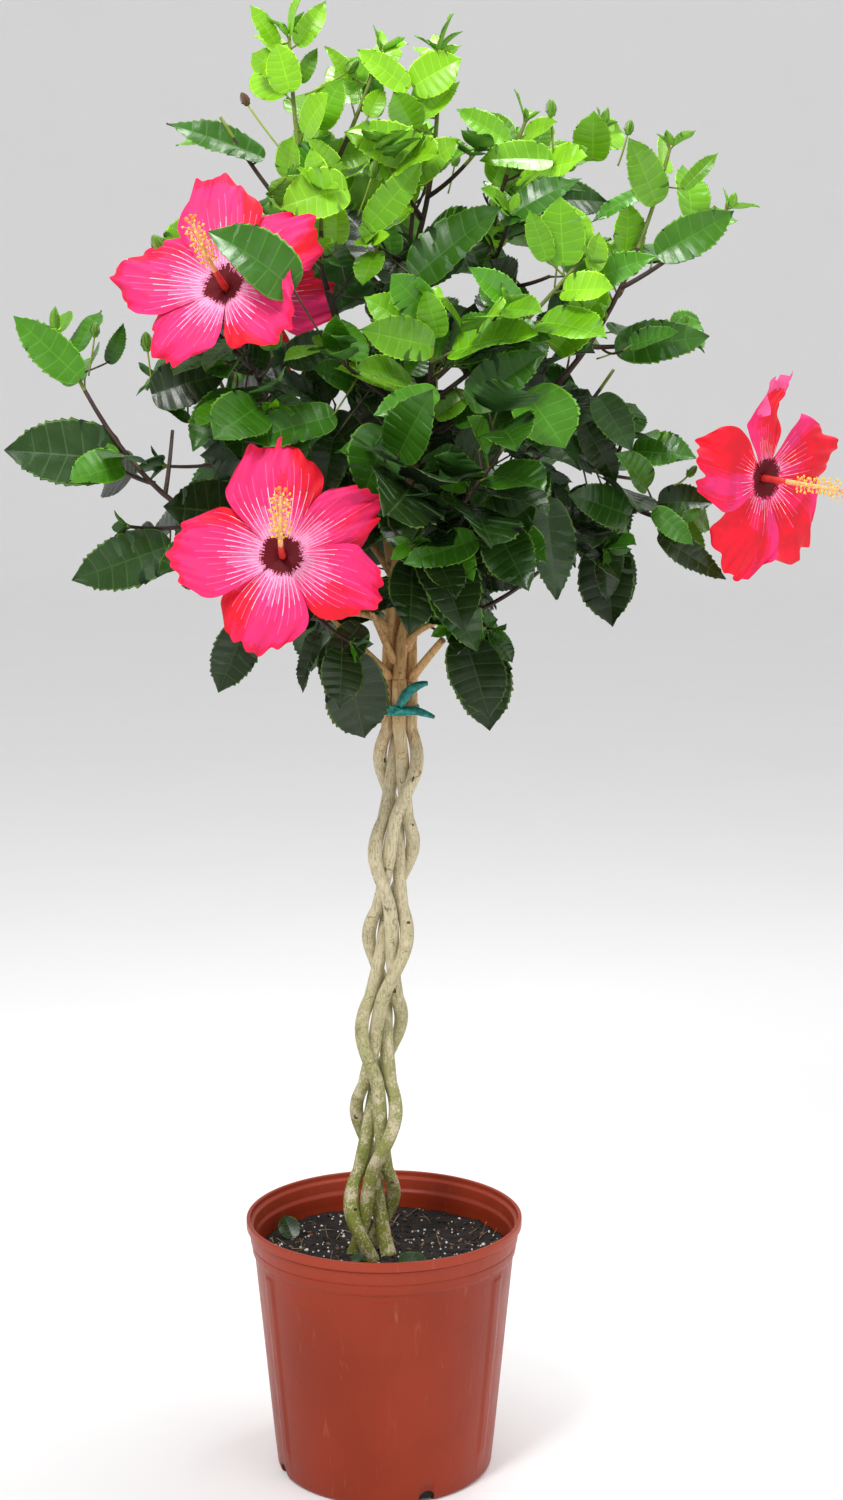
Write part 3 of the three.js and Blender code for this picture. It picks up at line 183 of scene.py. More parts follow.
# Blooms: the centre of the throat, the way the face looks and its turn in degrees. Then the column's
# tip from that centre, how red the petals are, and the one petal that is narrow and curled, if any.
# Last, each petal's own turn in degrees from its even place, its length and its width.
BLOOMS = {
    "bloom_upper_left": {
        "at": (-130, -116, 1087), "face": (-0.28, -0.86, 0.42), "turn": 12,
        "column": (-21, -46, 46), "redness": -0.05, "narrow": None,
        "petals": [(-2, 1.12, 0.92), (-5, 1.08, 0.94), (-12, 0.88, 0.94), (8, 0.82, 0.98), (14, 1, 0.84)],
    },
    "bloom_front": {
        "at": (-81, -154, 864), "face": (-0.02, -0.98, 0.18), "turn": 15,
        "column": (2, -42, 50), "redness": 0.02, "narrow": None,
        "petals": [(-7, 1.04, 1), (-2, 1.01, 0.96), (5, 0.9, 0.94), (11, 0.95, 0.82), (-5, 1, 0.66)],
    },
    "bloom_right": {
        "at": (338, -42, 926), "face": (0.66, -0.74, -0.1), "turn": 4,
        "column": (57, -40, -10), "redness": 0.85, "narrow": 0,
        "petals": [(4, 1, 0.66), (8, 0.96, 0.9), (12, 1, 1), (10, 1.06, 1), (-2, 1.04, 1)],
    },
    "bloom_back": {
        "at": (-126, 188, 1098), "face": (-0.42, 0.84, 0.34), "turn": 20,
        "column": (-26, 44, 42), "redness": 0.1, "narrow": None,
        "petals": [(4, 1, 0.96), (-3, 0.94, 1), (6, 1.04, 0.9), (-6, 0.9, 0.96), (2, 1, 0.86)],
    },
}

# Each mass grows on from its bough's tip. A shoot is: the share of the leader that it forks from,
# its tip, its number of leaves, its largest leaf, its age from soft to old, and the bloom it bears.
FOLIAGE = [
    ("foliage_top_left", "bough_left", [
        (None, (-80, -12, 1306), 9, 76, 0.1, None),
        (0.3, (0, -24, 1292), 8, 74, 0.1, None),
        (0.2, (-140, -18, 1238), 5, 80, 0.5, None),
        (0.1, (-50, -80, 1168), 6, 88, 0.15, None),
    ]),
    ("foliage_upper_left", "bough_upper_left", [
        (None, (-190, -34, 1110), 6, 86, 0.6, None),
        (0.15, (-118, -74, 1058), 0, 60, 0.5, "bloom_upper_left"),
        (0.2, (-196, -30, 1014), 6, 92, 0.8, None),
        (0.1, (-92, -104, 985), 6, 96, 0.7, None),
    ]),
    ("foliage_left", "bough_lower_left", [
        (None, (-284, -34, 1052), 7, 84, 0.4, None),
        (0.35, (-232, -52, 936), 2, 74, 0.7, None),
        (0.1, (-222, -44, 884), 4, 98, 0.9, None),
        (0.3, (-190, 20, 968), 6, 92, 0.8, None),
    ]),
    ("foliage_front_left", "bough_front_left", [
        (None, (-142, -62, 850), 5, 88, 0.9, None),
        (0.3, (-84, -112, 856), 0, 60, 0.8, "bloom_front"),
        (0.4, (-116, -72, 804), 3, 80, 1, None),
        (0.1, (-26, -92, 786), 4, 96, 1, None),
    ]),
    ("foliage_top", "bough_centre", [
        (None, (50, -8, 1294), 9, 78, 0.1, None),
        (0.25, (0, -56, 1210), 7, 88, 0.15, None),
        (0.35, (82, -34, 1206), 6, 90, 0.4, None),
        (0.05, (-8, -62, 1128), 5, 88, 0.5, None),
    ]),
    ("foliage_top_right", "bough_top_right", [
        (None, (126, -4, 1236), 8, 86, 0.3, None),
        (0.3, (192, 4, 1232), 6, 78, 0.4, None),
        (0.15, (112, -56, 1150), 6, 100, 0.6, None),
        (0.05, (146, -44, 1100), 4, 90, 0.7, None),
    ]),
    ("foliage_right_top", "bough_right", [
        (None, (252, -16, 1212), 8, 88, 0.2, None),
        (0.45, (302, -20, 1160), 5, 84, 0.3, None),
        (0.2, (262, -14, 1052), 6, 96, 0.7, None),
        (0.15, (182, 40, 1110), 5, 84, 0.6, None),
    ]),
    ("foliage_front_upper", "bough_front", [
        (None, (48, -108, 1070), 8, 88, 0.2, None),
        (0.3, (168, -92, 1108), 8, 92, 0.2, None),
        (0.45, (104, -104, 1074), 6, 90, 0.3, None),
        (0.2, (-44, -102, 1036), 7, 94, 0.6, None),
        (0.05, (106, -74, 1010), 6, 94, 0.8, None),
    ]),
    ("foliage_front", "bough_mid_front", [
        (None, (114, -122, 968), 8, 98, 0.5, None),
        (0.25, (-4, -126, 950), 8, 98, 0.8, None),
        (0.1, (28, -130, 872), 6, 108, 0.9, None),
        (0.2, (104, -120, 888), 6, 100, 0.8, None),
    ]),
    ("foliage_right", "bough_lower_right", [
        (None, (280, -24, 912), 5, 78, 0.6, "bloom_right"),
        (0.25, (216, -34, 972), 7, 94, 0.8, None),
        (0.55, (258, -62, 890), 4, 88, 0.8, None),
        (0.15, (196, -66, 866), 5, 92, 1, None),
    ]),
    ("foliage_front_right", "bough_front_right", [
        (None, (92, -66, 796), 5, 86, 1, None),
        (0.2, (146, -78, 854), 5, 90, 0.9, None),
        (0.1, (62, -78, 800), 5, 92, 1, None),
    ]),
    ("foliage_back_left", "bough_back_left", [
        (None, (-164, 116, 1036), 7, 84, 0.5, None),
        (0.3, (-204, 84, 936), 6, 88, 0.8, None),
        (0.15, (-120, 156, 900), 6, 88, 0.8, None),
        (0.5, (-116, 150, 1056), 0, 60, 0.6, "bloom_back"),
    ]),
    ("foliage_back_right", "bough_back_right", [
        (None, (216, 112, 1026), 7, 84, 0.5, None),
        (0.3, (234, 92, 924), 6, 88, 0.8, None),
        (0.2, (150, 160, 980), 6, 88, 0.8, None),
        (0.1, (112, 166, 872), 5, 90, 0.9, None),
    ]),
    ("foliage_back_top", "bough_back", [
        (None, (34, 92, 1232), 8, 84, 0.3, None),
        (0.2, (-72, 112, 1160), 7, 88, 0.5, None),
        (0.3, (118, 108, 1156), 7, 88, 0.5, None),
        (0.1, (20, 156, 1040), 7, 92, 0.6, None),
    ]),
    ("foliage_low_back", "bough_low_back", [
        (None, (0, 138, 888), 6, 88, 0.8, None),
        (0.2, (-76, 110, 822), 5, 90, 1, None),
        (0.2, (94, 108, 816), 5, 90, 1, None),
    ]),
]

MASS_NODES = [name for name, _, _ in FOLIAGE]

# Flower buds: the foot of the stalk, the bud's own foot, its size, and whether it has dried out.
BUDS = [
    ((-79, -30, 1200), (-115, -30, 1246), 6.5, True), ((150, -20, 1206), (148, -20, 1238), 8, False),
    ((-168, -52, 1100), (-184, -72, 1116), 11, False), ((-200, -34, 1000), (-204, -40, 1036), 9, False),
    ((232, -40, 930), (246, -42, 955), 6.5, False), ((256, -42, 920), (268, -46, 928), 6.5, False),
    ((-66, -30, 1255), (-30, -28, 1274), 8, False), ((-20, -52, 1150), (-8, -56, 1182), 8, False),
    ((150, -50, 1090), (152, -56, 1112), 8, False), ((206, -22, 1196), (214, -24, 1222), 7, False),
    ((-256, -40, 1015), (-250, -42, 1048), 7, False), ((60, 130, 1190), (66, 140, 1216), 8, False),
    ((-150, 130, 1060), (-176, 140, 1088), 8, False), ((200, 116, 1036), (236, 124, 1052), 8, False),
]
STEMS = {"stem_left": (-1, 0.75), "stem_front": (1, 0.75), "stem_right": (-1, 0.25), "stem_back": (1, 0.25)}

# ---------------- sizes of the finer growth

# Sprigs grow on the shoots near the crown's heart, and spurs on the boughs. A sprig's blade is a
# share of its shoot's blade, and a spur's blade is a length.
SPRIG = {
    "spacing": 30, "last": 0.94, "short": 14, "long": 36, "lift": 0.5, "leaves": 3, "blade": 0.94,
    "least_blade": 48, "older": 0.12, "radius": 1.3, "tries": 5, "heart": (20, 1020), "reach": 205,
}
SPUR = {"spacing": 20, "first": 0.34, "short": 10, "long": 30, "lift": 0.2, "blade": 88, "age": 1.1}
CROWN_FLOOR = 770
CROWN_MARGIN = 30
NEIGHBOUR_REACH = 190
BARK_SHARE = {"stem": 0.965, "bough": 0.97}
USUAL_LEAF = 85
SIDE_VEINS = (0.07, 0.19, 0.32, 0.46, 0.6, 0.74)
VEIN_HALF = 0.006
BLADE_COLUMNS = np.array([-1, -0.94, -0.5, -0.03, 0.03, 0.5, 0.94, 1])
LEAF_THICK = 0.5
CLOSED_RADIUS = 0.02
TRIANGLES_IN_PIECE = 190000

# ---------------- small helpers


def linear(*channels):
    """A colour given in 0 to 255 steps, as the shader's own linear values."""
    shares = [c / 255 for c in channels]
    return tuple(s / 12.92 if s <= 0.04045 else ((s + 0.055) / 1.055) ** 2.4 for s in shares)


def mix(a, b, share):
    return a + (b - a) * share


def smooth(x):
    x = np.clip(x, 0, 1)
    return x * x * (3 - 2 * x)


def unit(v):
    return v / np.linalg.norm(v)


def vec(*xyz):
    return np.array(xyz, float)


def turned(first, second, angle):
    """The direction at an angle from the first of two directions towards the second."""
    return first * math.cos(angle) + second * math.sin(angle)


class Seeded:
    """A repeatable stream of numbers from 0 to 1."""

    def __init__(self, seed):
        self.state = seed

    def __call__(self):
        self.state = (self.state * 1664525 + 1013904223) % 2**32
        return self.state / 2**32

    def between(self, low, high):
        return mix(low, high, self())


class Line:
    """A Bezier curve that is read by the share of its length."""

    def __init__(self, *points):
        self.points = [np.asarray(p, float) for p in points]
        self.shares = np.linspace(0, 1, 201)
        steps = np.linalg.norm(np.diff(self.raw(self.shares), axis=0), axis=1)
        self.lengths = np.concatenate([[0], np.cumsum(steps)])
        self.length = self.lengths[-1]

    @staticmethod
    def blended(points, t):
        t = np.asarray(t, float)[..., None]
        while len(points) > 1:
            points = [mix(a, b, t) for a, b in zip(points, points[1:])]
        return points[0]

    def raw(self, t):
        return self.blended(self.points, t)

    def share(self, share):
        return np.interp(np.asarray(share) * self.length, self.lengths, self.shares)

    def at(self, share):
        return self.raw(self.share(share))

    def way(self, share):
        slopes = [b - a for a, b in zip(self.points, self.points[1:])]
        return unit(self.blended(slopes, self.share(share)))


class Joined:
    """Collects many small shapes, each of four-cornered faces, for one joined mesh."""

    def __init__(self):
        self.points, self.quads, self.marks, self.count = [], [], [], 0

    def add(self, points, quads, marks=0):
        points = np.asarray(points, float).reshape(-1, 3)
        quads = np.asarray(quads, int)
        self.points.append(points)
        self.quads.append(quads + self.count)
        self.marks.append(np.broadcast_to(marks, len(quads)))
        self.count += len(points)

    def build(self, name, finishes):
        quads = np.concatenate(self.quads)
        mesh = bpy.data.meshes.new(name)
        mesh.vertices.add(self.count)
        mesh.vertices.foreach_set("co", (np.concatenate(self.points) * MM).ravel())
        mesh.loops.add(quads.size)
        mesh.loops.foreach_set("vertex_index", quads.ravel())
        mesh.polygons.add(len(quads))
        mesh.polygons.foreach_set("loop_start", np.arange(0, quads.size, 4))
        mesh.polygons.foreach_set("material_index", np.concatenate(self.marks))
        mesh.polygons.foreach_set("use_smooth", np.ones(len(quads), bool))
        mesh.update(calc_edges=True)
        mesh.validate()
        for finish in finishes:
            mesh.materials.append(finish)
        return placed(name, mesh)


def placed(name, mesh):
    """An object of the plant or pot, riding on the part's one body."""
    piece = bpy.data.objects.new(name, mesh)
    bpy.context.scene.collection.objects.link(piece)
    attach(piece, "root")
    return piece


def grid_quads(rows, columns, closed=False):
    """The faces between the rows of a grid of points. A closed grid's last column meets its first."""
    across = columns if closed else columns - 1
    i, j = np.meshgrid(np.arange(rows - 1), np.arange(across), indexing="ij")
    k = (j + 1) % columns
    corners = [i * columns + j, i * columns + k, (i + 1) * columns + k, (i + 1) * columns + j]
    return np.stack(corners, axis=-1).reshape(-1, 4)


def ring_frames(line):
    """Two directions across a line of points at each point, carried along it without twisting."""
    ways = np.gradient(line, axis=0)
    ways /= np.linalg.norm(ways, axis=1, keepdims=True)
    side = unit(np.cross(ways[0], [0.31, 0.95, 0.1]))
    sides = []
    for way in ways:
        side = unit(side - way * side.dot(way))
        sides.append(side)
    sides = np.array(sides)
    return sides, np.cross(ways, sides)


def spokes(across, over, angles):
    """The directions from each point of a line out to its ring."""
    return across[:, None] * np.cos(angles)[None, :, None] + over[:, None] * np.sin(angles)[None, :, None]


def tube(line, radii, sides):
    """The points and faces of a round limb along a line. Its ends are drawn in to close them."""
    line = np.asarray(line, float)
    radii = np.broadcast_to(radii, len(line))
    line = np.concatenate([line[:1], line, line[-1:]])
    radii = np.concatenate([[CLOSED_RADIUS], radii, [CLOSED_RADIUS]])
    across, over = ring_frames(np.concatenate([line[1:2] - (line[2] - line[1]) * 1e-3, line[1:-1],
                                               line[-2:-1] + (line[-2] - line[-3]) * 1e-3]))
    angles = np.arange(sides) / sides * TURN
    points = line[:, None] + spokes(across, over, angles) * radii[:, None, None]
    return points.reshape(-1, 3), grid_quads(len(line), sides, closed=True)


def ball(centre, radii, way=UP, rows=7, sides=8):
    """The points and faces of an egg shape: radii are across and along its way."""
    across, along = radii
    way = unit(np.asarray(way, float))
    angles = np.linspace(0.04, math.pi - 0.04, rows)
    heights = -np.cos(angles) * along
    widths = np.sin(angles) * across
    side = unit(np.cross(way, [0.3, 0.9, 0.2]))
    over = np.cross(way, side)
    turns = np.arange(sides) / sides * TURN
    rim = side * np.cos(turns)[:, None] + over * np.sin(turns)[:, None]
    points = centre + way * heights[:, None, None] + rim[None] * widths[:, None, None]
    return points.reshape(-1, 3), grid_quads(rows, sides, closed=True)


# ---------------- stems and boughs


def stem_taper(z):
    return mix(STEM["base"], STEM["top"], (z - SOIL_TOP) / (FORK - SOIL_TOP))


def stem_radius(z):
    return stem_taper(z) + STEM["flare"] * np.exp((SOIL_TOP - z) / STEM["flare_height"])


def plait_axis(z):
    """The trunk leans a little to the right on its way up."""
    return mix(PLAIT["start_lean"], PLAIT["end_lean"], smooth((z - SOIL_TOP) / (FORK - SOIL_TOP)))


def stem_centre(name, z):
    """Where a stem's centre is at a height. Two stems wind each way, over and under by turns."""
    way, start = STEMS[name]
    share = np.clip((z - SOIL_TOP) / (PLAIT["end"] - SOIL_TOP), 0, 1)
    phase = TURN / 8 + PLAIT["crossings"] * TURN / 4 * share
    crossing = np.cos(2 * phase)
    room = stem_taper(z) * PLAIT["slack"] + GAP
    spread = PLAIT["spread"] * np.exp((SOIL_TOP - z) / PLAIT["spread_height"])
    radius = room * (mix(PLAIT["square"], 2, np.abs(crossing)) + way * crossing + spread)
    angle = way * phase + start * TURN + TURN / 8
    return np.stack([plait_axis(z) + radius * np.cos(angle), radius * np.sin(angle), z], axis=-1)


def lay_boughs():
    """The line and radii of each bough, oldest first."""
    laid = {}
    for name, parent, share, tip, radii in BOUGHS:
        tip = vec(*tip)
        if share is None:
            start = stem_centre(parent, np.float64(FORK)) + GAP * UP
            way = UP
        else:
            start = laid[parent]["line"].at(share)
            way = unit(laid[parent]["line"].way(share) + unit(tip - start))
        bend = start + way * BEND["bough"] * np.linalg.norm(tip - start)
        laid[name] = {"name": name, "line": Line(start, bend, tip), "radii": radii}
    return laid


BOUGH = lay_boughs()


# ---------------- shoots and leaves by the seeded rule


def shoot_of(line, leaves, blade, age, radii, bears=None):
    return {
        "line": line, "leaves": leaves, "blade": blade, "age": age, "radii": radii, "bears": bears,
        "spaced": line.at(np.linspace(0, 1, TWIG["steps"] + 1)),
    }


def point_on(spaced, share):
    """The point at a share of a line made of equal straight stretches."""
    stretch = min(len(spaced) - 2, int(share * (len(spaced) - 1)))
    return mix(spaced[stretch], spaced[stretch + 1], share * (len(spaced) - 1) - stretch)


def lay_shoots(bough, shoots):
    """A mass's shoots. The first is the leader, and the others fork from it."""
    line = BOUGH[bough]["line"]
    way = line.way(1)
    leader = None
    laid = []
    for fork, tip, leaves, blade, age, bears in shoots:
        tip = vec(*tip)
        start = line.at(1) + way * GAP if leader is None else point_on(leader["spaced"], fork)
        reach = np.linalg.norm(tip - start)
        if leader is None:
            bend = start + way * BEND["leader"] * reach
        else:
            bend = mix(start, tip, 0.5) - UP * BEND["side"] * reach
        thick = TWIG["leader"] if leader is None else TWIG["side"]
        shoot = shoot_of(Line(start, bend, tip), leaves, blade, age, (thick, TWIG["tip"]), bears)
        leader = leader or shoot
        laid.append(shoot)
    return laid


MASSES = {name: lay_shoots(bough, shoots) for name, bough, shoots in FOLIAGE}


def bloom_frame(name):
    """A bloom's own directions: face looks out of the flower, and side and top span its disc."""
    face = unit(vec(*BLOOMS[name]["face"]))
    side = unit(np.cross(face, UP))
    return vec(*BLOOMS[name]["at"]), face, side, np.cross(side, face)


def stalk_line(name):
    shoot = next(s for shoots in MASSES.values() for s in shoots if s["bears"] == name)
    at, face, _, _ = bloom_frame(name)
    way = shoot["line"].way(1)
    start = shoot["line"].at(1) + way * GAP
    end = at - face * BLOOM["calyx"] * 0.8
    pull = np.linalg.norm(end - start) * BEND["stalk"]
    return Line(start, start + way * pull, end - face * pull, end)


STALKS = {name: stalk_line(name) for name in BLOOMS}


def stretches(lines):
    """The starts and ends of the straight stretches of several lines of points."""
    starts = np.concatenate([line[:-1] for line in lines])
    ends = np.concatenate([line[1:] for line in lines])
    return starts, ends


def distances(points, starts, ends):
    """How far each point is from each straight stretch."""
    along = ends - starts
    offset = points[:, None] - starts[None]
    share = np.clip((offset * along).sum(-1) / (along**2).sum(-1), 0, 1)
    return np.linalg.norm(offset - share[..., None] * along, axis=-1)


class Space:
    """The room that each mass may fill: nearest to its own shoots, and clear of limbs and blooms."""

    def __init__(self):
        self.names = list(MASSES)
        lines = [shoot["spaced"] for name in self.names for shoot in MASSES[name]]
        self.shoots = stretches(lines)
        counts = [sum(len(s["spaced"]) - 1 for s in MASSES[name]) for name in self.names]
        self.first = np.concatenate([[0], np.cumsum(counts)[:-1]])
        trunk = np.array([[plait_axis(SOIL_TOP), 0, SOIL_TOP], [plait_axis(FORK), 0, FORK + 10]])
        steps = np.linspace(0, 1, 9)
        limbs = [(trunk, TRUNK_ROOM)]
        limbs += [(b["line"].raw(steps), b["radii"][0] + CLEAR["limb"]) for b in BOUGH.values()]
        limbs += [(line.raw(steps), TWIG["side"] + CLEAR["limb"]) for line in STALKS.values()]
        self.limbs = stretches([line for line, _ in limbs])
        self.rooms = np.concatenate([np.full(len(line) - 1, room) for line, room in limbs])
        self.blooms = [bloom_frame(name)[:2] for name in BLOOMS]

    @staticmethod
    def open_sky(points):
        """True if any point would hide one of the crown's openings from the front."""
        nearer = FRONT_VIEW["distance"] / (FRONT_VIEW["distance"] + points[:, 1:2])
        across = FRONT_VIEW["x"] + (points[:, 0:1] - FRONT_VIEW["x"]) * nearer
        height = FRONT_VIEW["z"] + (points[:, 2:3] - FRONT_VIEW["z"]) * nearer
        return bool((np.hypot(across - OPENINGS[:, 0], height - OPENINGS[:, 1]) < OPENINGS[:, 2]).any())

    def free(self, points):
        """True if no point touches a limb, the room of a bloom or an opening."""
        if (distances(points, *self.limbs) < self.rooms).any() or self.open_sky(points):
            return False
        column_end = BLOOM["column"] + BLOOM_ROOM["column_end"]
        for at, face in self.blooms:
            offset = points - at
            ahead = offset @ face
            across = np.linalg.norm(offset - ahead[:, None] * face, axis=1)
            by_disc = (ahead > -BLOOM_ROOM["behind"]) & (ahead < BLOOM_ROOM["ahead"])
            by_column = (ahead > -BLOOM_ROOM["stalk_end"]) & (ahead < column_end)
            if (by_disc & (across < BLOOM["radius"] + CLEAR["bloom"])).any():
                return False
            if (by_column & (across < BLOOM_ROOM["throat"])).any():
                return False
        return True

    def holds(self, points, name):
        """True if every point is nearer to this mass's shoots than to any other's."""
        nearest = np.minimum.reduceat(distances(points, *self.shoots), self.first, axis=1)
        own = self.names.index(name)
        others = np.delete(nearest, own, axis=1).min(axis=1)
        return bool((nearest[:, own] + CLEAR["space"] < others).all())


def leaf_at(shoot, j, attempt, phase, vigour):
    """Where leaf number j of a shoot would go, on one of its tries."""
    share = mix(LEAF["first_share"], 1, (j / max(1, shoot["leaves"] - 1)) ** 0.85)
    root = point_on(shoot["spaced"], share * 0.985)
    tangent = shoot["line"].way(share)
    level = unit(np.cross(tangent, vec(0, 1, 0) if abs(tangent[2]) > 0.95 else UP))
    rise = np.cross(tangent, level)
    angle = phase + (j + attempt * RETRY["turn"]) * LEAF["phyllotaxis"]
    radial = turned(level, rise, angle)
    size = (1 - 0.5 * share**3) * mix(0.88, 1.1, vigour) * (1 - RETRY["shrink"] * attempt)
    length = shoot["blade"] * size
    lean = mix(0.55, 1.1, share**3)
    stalk_way = unit(radial + tangent * lean + UP * 0.12)
    base = root + stalk_way * LEAF["petiole_share"] * length * (1 - 0.5 * share**4)
    hang = mix(0.1, 0.75, shoot["age"] * (1 - 0.6 * share))
    way = unit(stalk_way - UP * hang)
    outward = unit(vec(0.4 * (root[0] - HEART[0]), 2.6 * (root[1] - HEART[1]), 0))
    facing = UP * 0.62 + outward * 0.78
    facing = unit(facing - way * facing.dot(way))
    flat = np.cross(facing, way)
    roll = (vigour - 0.5) * LEAF["roll"]
    normal = turned(facing, flat, roll)
    return {
        "root": root, "base": base, "way": way, "stalk_way": stalk_way, "normal": normal,
        "side": np.cross(normal, way), "length": length, "vigour": vigour,
        "width": length * LEAF["width_share"] * mix(0.92, 1.08, vigour),
        "age": shoot["age"] * (1 - 0.55 * share),
    }


def seen_at(across, height, depth):
    """The point at a depth that is seen from the front at a place across and a height."""
    further = (FRONT_VIEW["distance"] + depth) / FRONT_VIEW["distance"]
    return vec(mix(FRONT_VIEW["x"], across, further), depth, mix(FRONT_VIEW["z"], height, further))


def placed_leaves():
    """The leaves that lie round the openings. Each grows from the nearest point of any shoot."""
    shares = np.linspace(0, ROOTS["end"], ROOTS["steps"] + 1)
    shoots = [shoot for own in MASSES.values() for shoot in own]
    roots = np.array([point_on(shoot["spaced"], share) for shoot in shoots for share in shares])
    made = []
    for number, row in enumerate(PLACED):
        foot_across, foot_height, tip_across, tip_height, foot_depth, tip_depth, width_share, age = row
        base = seen_at(foot_across, foot_height, foot_depth)
        tip = seen_at(tip_across, tip_height, tip_depth)
        root = roots[np.linalg.norm(roots - base, axis=1).argmin()]
        length = np.linalg.norm(tip - base)
        way = (tip - base) / length
        sway = FACING["sway"] * math.sin(FACING["sway_step"] * number)
        rise = FACING["rise"] + FACING["rise_swing"] * math.cos(FACING["rise_step"] * number)
        facing = vec(sway, -1, rise)
        normal = unit(facing - way * facing.dot(way))
        made.append({
            "root": root, "base": base, "way": way, "stalk_way": unit(base - root), "normal": normal,
            "side": np.cross(normal, way), "length": length, "width": length * width_share,
            "vigour": 0.5, "age": age,
        })
    return made


def outline(t):
    """A leaf's half width at a share of its length: round at the foot, then drawn out to a sharp tip."""
    t = np.clip(t, 0, 1)
    widest = LEAF["round"] / (LEAF["round"] + LEAF["point"])
    peak = widest ** LEAF["round"] * (1 - widest) ** LEAF["point"]
    return t ** LEAF["round"] * (1 - t) ** LEAF["point"] / peak


TEST_ALONG, TEST_ACROSS = np.meshgrid([0.04, 0.22, 0.45, 0.7, 1], [-0.95, -0.5, 0, 0.5, 0.95])


def leaf_points(leaf):
    """A scatter of points over a leaf's blade, for tests of room."""
    along = TEST_ALONG.ravel()
    across = TEST_ACROSS.ravel() * LEAF["half_width"] * outline(along) * leaf["width"]
    height = LEAF["fold"] * np.abs(across) - LEAF["droop"] * along**2 * leaf["length"]
    return (leaf["base"] + np.outer(along * leaf["length"], leaf["way"])
            + np.outer(across, leaf["side"]) + np.outer(height, leaf["normal"]))


class Bed:
    """The leaves that are placed so far, and the test that keeps them from crossing."""

    FIELDS = ("base", "way", "side", "normal", "length", "width")

    def __init__(self):
        self.leaves = []
        self.arrays = {field: [] for field in self.FIELDS}
        self.points = []

    def add(self, leaf, points):
        self.leaves.append(leaf)
        self.points.append(points)
        for field in self.FIELDS:
            self.arrays[field].append(leaf[field])

    @staticmethod
    def pierced(points, base, way, side, normal, length, width):
        """True where a set of points lies on both sides of a blade, or nearly on it."""
        offset = points - base
        along = (offset * way).sum(-1) / length
        across = (offset * side).sum(-1)
        surface = LEAF["fold"] * np.abs(across) - LEAF["droop"] * along**2 * length
        height = (offset * normal).sum(-1) - surface
        half = LEAF["half_width"] * width * outline(along)
        over = (along > 0) & (along < 1) & (np.abs(across) < half)
        lowest = np.where(over, height, np.inf).min(-1)
        highest = np.where(over, height, -np.inf).max(-1)
        return (lowest < CLEAR["leaf"]) & (highest > -CLEAR["leaf"])

    def crosses(self, leaf, points):
        if not self.leaves:
            return False
        away = np.linalg.norm(np.array(self.arrays["base"]) - leaf["base"], axis=1)
        picked = np.flatnonzero(away < NEIGHBOUR_REACH)
        if not len(picked):
            return False
        others = {field: np.array(self.arrays[field])[picked] for field in self.FIELDS}
        blades = [others[field][:, None] for field in self.FIELDS]
        if self.pierced(points[None], *blades).any():
            return True
        theirs = np.array(self.points)[picked]
        return bool(self.pierced(theirs, *[leaf[field] for field in self.FIELDS]).any())


def within(points, box):
    low, high = box
    return bool((points > low).all() and (points < high).all())


def grow_leaves(shoot, random, bed, fits, tries):
    """Places a shoot's leaves by the rule. A leaf that finds no room on its tries is skipped."""
    phase = random() * TURN
    for j in range(shoot["leaves"]):
        vigour = random()
        for attempt in range(tries):
            leaf = leaf_at(shoot, j, attempt, phase, vigour)
            points = leaf_points(leaf)
            stalk = np.array([mix(leaf["root"], leaf["base"], share) for share in (0.5, 1)])
            if not fits(np.concatenate([stalk, points])) or bed.crosses(leaf, points):
                continue
            bed.add(leaf, points)
            break


def sprig_on(line, share, angle, reach, lift, blade, age):
    """A short side twig that leaves a line at a share of its length."""
    start = line.at(share)
    tangent = line.way(share)
    level = unit(np.cross(tangent, vec(0, 1, 0) if abs(tangent[2]) > 0.95 else UP))
    radial = turned(level, np.cross(tangent, level), angle)
    way = unit(radial + tangent * 0.5)
    middle = start + way * reach * 0.5
    tip = start + unit(way + UP * lift) * reach
    radii = (SPRIG["radius"], SPRIG["radius"] * 0.7)
    return shoot_of(Line(start, middle, tip), SPRIG["leaves"], blade, age, radii)


def grow_sprigs(line, spots, random, bed, fits, blade, age, reach, lift):
    """Finer twigs along a line, each with its own leaves, where there is room for them."""
    grown = []
    phase = random() * TURN
    for number, share in enumerate(spots):
        length = random.between(*reach)
        for attempt in range(SPRIG["tries"]):
            angle = phase + (number + attempt * RETRY["turn"]) * LEAF["phyllotaxis"]
            sprig = sprig_on(line, share, angle, length, lift, blade, age)
            if fits(sprig["spaced"][1:]):
                before = len(bed.leaves)
                grow_leaves(sprig, random, bed, fits, RETRY["tries"] // 2)
                if len(bed.leaves) > before:
                    grown.append(sprig)
                break
    return grown


